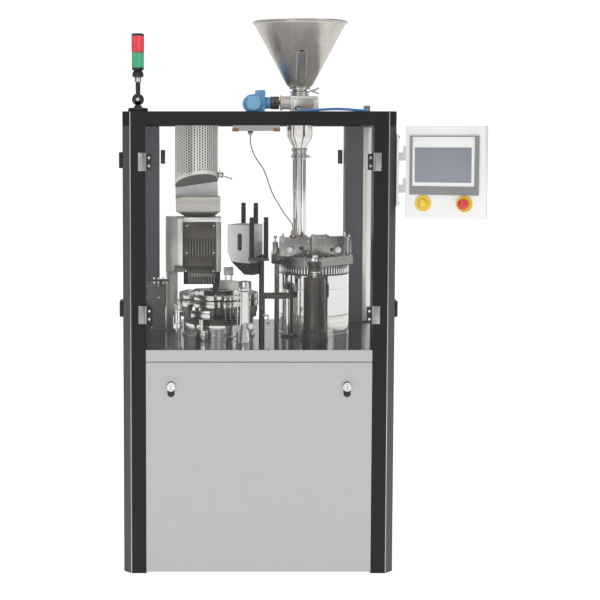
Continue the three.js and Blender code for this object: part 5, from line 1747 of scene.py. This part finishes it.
dosing = bmesh.new()
profile = [(0, 81), (139.5, 81), (141.5, 83), (141.5, 187),
           (139.5, 188), (139.5, 190), (141.5, 191), (141.5, 243), (138, 247), (0, 247)]
turned(dosing, profile, dosing_axis, 144)
finish_piece("dosing_drum_polished", dosing, MIRROR_STEEL, replaces=("dosing_drum",))
dosing_base = bmesh.new()
turned(
    dosing_base, [(0, 0), (143.5, 0), (143.5, 7), (141.5, 9), (141.5, 79), (139.5, 80.6), (0, 80.6)],
    dosing_axis, 144,
)
finish_piece("dosing_drum_base", dosing_base, TURNED_STEEL)
core = bmesh.new()
turned(core, [(0, 248), (134, 248), (134, 281), (0, 281)], dosing_axis, 128)
finish_piece("dosing_ring_core", core, BROWN_STEEL, "dosing_disc", replaces=("dosing_ring",))
fin = bmesh.new()
block(fin, (-4, -3.1, 0), (7.8, 3.1, 31), 1)
round_row("dosing_ring_fins", fin, 72, 133.8, (DOSING_X, DOSING_Y), table + 249, MIRROR_STEEL, "dosing_disc")
lip = bmesh.new()
turned(lip, [(128, 245.2), (141.8, 245.2), (141.8, 247.6), (128, 247.6), (128, 245.2)], dosing_axis, 128)
finish_piece("dosing_drum_lip", lip, BROWN_STEEL)
print("dosing drum made")

# %% [markdown]
# A browned column stands in front of the drum, turned in steps, with a notched neck and a polished nut.

# %% Front column of the dosing station
COLUMN_X, COLUMN_Y = DOSING_X - 14, DOSING_Y - 204
column_axis = upright(COLUMN_X, COLUMN_Y, table)
post = bmesh.new()
turned(
    post,
    [
        (0, 0), (55, 0), (55, 8), (52, 11), (50, 36), (46, 38), (46, 60), (43, 66), (43, 244), (41, 246),
        (0, 246),
    ],
    column_axis, 72,
)
turned(
    post,
    [
        (0, 269), (26, 269), (27, 271), (27, 284), (24.5, 286), (24.5, 292), (27, 294), (27, 309),
        (25, 311), (0, 311),
    ],
    column_axis, 56,
)
finish_piece("dosing_front_column", post, BROWN_STEEL, replaces=("dosing_column",))
nut = bmesh.new()
turned(
    nut, [(0, 246.2), (19, 246.2), (19, 249), (17, 250), (17, 264), (19, 265), (19, 268.6), (0, 268.6)],
    column_axis, 48,
)
turned(
    nut, [(0, 311), (36, 311), (36, 314), (34, 322), (12, 322), (12, 331), (9, 334), (0, 334)], column_axis,
    56,
)
finish_piece("dosing_column_collars", nut, MIRROR_STEEL)
notch = bmesh.new()
block(notch, (-2.4, -1.6, 0), (2.4, 2, 16), 0.5)
round_row(
    "dosing_column_notches", notch, 12, 18.2, (COLUMN_X, COLUMN_Y), table + 249, DARK_STEEL, "cabinet",
)
print("front column made")

# %% [markdown]
# The ground plate over the drum is fixed on two posts. The crosshead block on it moves up and down, so it
# and its four bolts ride their own body.

# %% Tamping plate and its blocks
tamping = bmesh.new()
outline = [(-176, -40), (-54, -178), (26, -178), (153, -50), (160, 136), (-168, 136)]
raised(tamping, outline, 284.3, 319.7, 3, dosing_axis)
block(tamping, (-145, -119, 319), (-22, -49, 393.7), 3, dosing_axis)
block(tamping, (-170, -40, 319), (-148, 0, 370.7), 2, dosing_axis)
block(tamping, (120, -30, 319), (148, 10, 383.7), 2, dosing_axis)
for x in (-140, 132):
    bar(tamping, at_dosing(x, 112, 0.4), at_dosing(x, 112, 285), 16, 40)
    turned(tamping, [(0, 319), (20, 319), (20, 326), (12, 328), (12, 336), (0, 336)],
           dosing_axis @ Matrix.Translation((x, 112, 0)), 40)
finish_piece("tamping_plate_grey", tamping, GROUND_STEEL, replaces=("tamping_plate",))
tops = bmesh.new()
block(tops, (118, -32, 383.9), (150, 12, 389), 1.5, dosing_axis)
finish_piece("tamping_block_cap", tops, BLACK_MOULDED)
# Black discs stand for the bores in the block face: painted shade of the holes.
bore_shades = bmesh.new()
for x in (-100, -60):
    bar(bore_shades, at_dosing(x, -119.6, 352), at_dosing(x, -116, 352), 9, 32, 0.4)
bar(bore_shades, at_dosing(61, -119.8, 347), at_dosing(61, -116, 347), 8, 32, 0.4)
finish_piece("tamping_bore_shade_discs", bore_shades, BLACK_MOULDED)
crosshead = bmesh.new()
block(crosshead, (-20.6, -118.6, 320.6), (114.6, -49.4, 397.6), 3, dosing_axis)
block(crosshead, (-19, -120.6, 392.5), (51, -60.4, 403.6), 2, dosing_axis)
for x in (40, 90):
    bar(crosshead, at_dosing(x, -84, 300), at_dosing(x, -84, 322), 8.6, 32)
finish_piece(
    "tamping_crosshead_block", crosshead, GROUND_STEEL, "crosshead",
    replaces=("tamping_crosshead",),
)
bright = bmesh.new()
for x, y, low, high, radius in ((-130, -60, 393, 408, 5), (-40, -60, 393, 404, 5), (100, -100, 319, 336, 6),
                                (140, -10, 384, 400, 4), (-159, -20, 370, 392, 4), (-159, -20, 386, 396, 8)):
    bar(bright, at_dosing(x, y, low), at_dosing(x, y, high), radius, 28)
bar(bright, (362, 10, 1130), (362, 10, 1265), 3.4, 20)
bar(bright, (374, 8, 1172), (374, 8, 1236), 3, 20)
ball(bright, (374, 8, 1238), 6, 24)
finish_piece("tamping_bright_bolts", bright, MIRROR_STEEL)
moving_bolts = [(at_dosing(x, y, 403.6), (0, 0, 1)) for x in (-10, 42) for y in (-112, -69)]
screws("crosshead_screws", moving_bolts, 4.5, "crosshead")
PLATE_BOLTS = [
    (-152, -44), (-48, -160), (22, -160), (140, -52), (146, 60), (-156, 60), (60, 120), (-60, 120),
]
plate_screws = [(at_dosing(x, y, 319.7), (0, 0, 1)) for x, y in PLATE_BOLTS]
plate_screws += [(at_dosing(x, y, 393.7), (0, 0, 1)) for x in (-136, -34) for y in (-110, -58)]
screws("tamping_plate_screws", plate_screws, 5)
face_screws = [(at_dosing(x, -119, z), (0, -1, 0)) for x in (-134, -34) for z in (334, 380)]
screws("tamping_block_screws", face_screws, 3.6)
knobs = bmesh.new()
for x, y, z in ((135, -78, 1200), (327, -78, 1199)):
    profile = [(0, 0), (9, 0), (11.5, 2), (12, 5), (12, 12), (9, 15), (0, 15.5)]
    turned(knobs, profile, facing((0, -1, 0), x, y, z), 48)
finish_piece("tamping_white_knobs", knobs, WHITE_MOULDED)
print("dosing station made")

# %% [markdown]
# Between the stations a browned arm and a bright rod with a hook stand on the table.

# %% Transfer arm and small posts
arm = bmesh.new()
block(arm, (19, -92, 1004), (142, -68, 1028), 4)
bar(arm, (27, -80, table + 0.2), (27, -80, 948), 9, 32)
block(arm, (17, -90, 940), (37, -70, 1006), 3)
turned(arm, [(0, 0), (26, 0), (26, 6), (20, 9), (0, 9)], upright(126, -80, table + 0.2), 48)
finish_piece("transfer_arm", arm, BROWN_STEEL)
rods = bmesh.new()
bar(rods, (126, -80, table + 8), (126, -80, 1006), 11, 40)
bar(rods, (126, -80, 1027), (126, -80, 1040), 7, 32)
bar(rods, (50, -88, 910), (50, -88, 940), 4, 24)
bar(rods, (28, -88, 938), (51, -88, 938), 4, 24)
ball(rods, (50, -88, 908), 6, 24)
finish_piece("transfer_arm_rod", rods, MIRROR_STEEL)
print("transfer arm made")

# %% [markdown]
# The level sensor hangs over the dosing bowl on its cable. A pale strip runs up one rear post, and the
# chamfers of the front posts are painted browner than their faces, a painted reflection of the steel inside.

# %% Level sensor, rear post strip and post chamfers
# Nickel plate on turned brass, warm where the brass shows through.
BRASS = grain(
    new_material("nickel_plated_brass", "#a8968a", 1.0, 0.28), 0.001, bump=0.01, rough=(0.22, 0.34),
    tint=("#a39185", "#ae9c90"),
)
sensor = bmesh.new()
sensor_axis = upright(150, -50, 0)
turned(
    sensor, [(0, 1247), (13, 1247), (14.6, 1249), (14.6, 1256), (9, 1257), (9, 1270), (6, 1276), (0, 1276)],
    sensor_axis, 40,
)
finish_piece("level_sensor_turned", sensor, BRASS, replaces=("level_sensor",))
# A pale strip runs up the face of the right rear post only.
pale_strip = bmesh.new()
block(pale_strip, (474, 341.2, 858), (509, 343.7, 1688), 0.6)
finish_piece("rear_post_pale_strip", pale_strip, ELECTROPOLISHED)
chamfers = bmesh.new()
for side in (-1, 1):
    strip_low, strip_high = 3, 1689
    corners = [(side * 509.3, -401.4), (side * 481.4, -429.3)]
    inner_corners = [(side * 508.6, -400.9), (side * 480.9, -428.6)]
    ring = corners + inner_corners[::-1]
    rows = [[chamfers.verts.new((x, y, z)) for x, y in ring] for z in (strip_low, strip_high)]
    stitch(chamfers, rows)
    chamfers.faces.new(rows[0][::-1])
    chamfers.faces.new(rows[1])
# The posts' black powder coat on their chamfers, painted brown grey as a sheen reflecting the steel inside.
CHAMFER_SHEEN_POWDER = grain(
    new_material("black_powder_coat_painted_sheen", "#463f3c", 0.0, 0.45), 0.002, bump=0.0, rough=(0.42, 0.48),
    tint=("#453e3b", "#49423f"),
)
finish_piece("post_chamfer_faces", chamfers, CHAMFER_SHEEN_POWDER)
print("inner trim and chamfer faces made")

# %% [markdown]
# The floor is plain and pale. The room is an even white studio, with darker upright bands that only the
# reflections see, because polished steel looks flat with nothing to mirror.

# %% Floor, room and lamps
FLOOR_PAINT = new_material("pale_studio_floor", "#f4f4f4", 0.0, 0.8, emission_strength=0.62)
FLOOR_PAINT.node_tree.nodes["Principled BSDF"].inputs["Emission Color"].default_value = (1, 1, 1, 1)
bpy.ops.mesh.primitive_plane_add(size=60, location=(0, 0, FLOOR - 0.0005))
floor = bpy.context.object
floor.name = "studio_floor"
floor.data.materials.append(FLOOR_PAINT)
floor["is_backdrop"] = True

world = bpy.data.worlds.new("studio")
scene.world = world
world.use_nodes = True
tree = world.node_tree
backdrop = tree.nodes["Background"]
view_ray = add_node(tree, "ShaderNodeLightPath")
direction = add_node(tree, "ShaderNodeTexCoord")
parts = add_node(tree, "ShaderNodeSeparateXYZ", {"Vector": direction.outputs["Generated"]})
across = add_node(
    tree, "ShaderNodeMapRange", {"Value": parts.outputs["X"], "From Min": -1.0, "From Max": 1.0},
)
bands = add_node(tree, "ShaderNodeValToRGB", {"Fac": across.outputs["Result"]})
BANDS = [
    (0.0, 0.4), (0.12, 0.2), (0.24, 0.9), (0.36, 1.0), (0.43, 0.35), (0.48, 1.0), (0.53, 1.0), (0.58, 0.4),
    (0.7, 1.0), (0.8, 0.95), (0.9, 0.2), (1.0, 0.4),
]
for index, (position, level) in enumerate(BANDS):
    elements = bands.color_ramp.elements
    stop = elements[index] if index < 2 else elements.new(position)
    stop.position = position
    stop.color = (level, level, level, 1)
seen = add_node(tree, "ShaderNodeMix", {"Factor": view_ray.outputs["Is Camera Ray"]}, data_type="RGBA")
tree.links.new(bands.outputs["Color"], seen.inputs[6])
seen.inputs[7].default_value = (1, 1, 1, 1)
tree.links.new(seen.outputs[2], backdrop.inputs["Color"])
strength = add_node(
    tree, "ShaderNodeMix", {0: view_ray.outputs["Is Camera Ray"], 2: 0.8, 3: 1.12}, data_type="FLOAT",
)
tree.links.new(strength.outputs[0], backdrop.inputs["Strength"])


def softbox(name, place, aim, size, power):
    lamp = bpy.data.lights.new(name, "AREA")
    lamp.shape = "RECTANGLE"
    lamp.size, lamp.size_y = size
    lamp.energy = power
    made = bpy.data.objects.new(name, lamp)
    made.location = place
    made.rotation_euler = (Vector(aim) - Vector(place)).to_track_quat("-Z", "Y").to_euler()
    scene.collection.objects.link(made)


softbox("front_softbox", (-2.2, -4.5, 3.2), (0, 0, 1.0), (2.5, 2.5), 30)
softbox("right_softbox", (3.5, -2.5, 2.4), (0, 0, 1.1), (1.5, 3.0), 15)
softbox("top_softbox", (0, 0.5, 4.5), (0, 0, 1.0), (3.0, 3.0), 45)
scene.view_settings.view_transform = "Standard"
print("studio ready")

# %% [markdown]
# The size of everything shown, apart from the floor, is measured at the end.

# %% Sizes and finish
low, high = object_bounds()
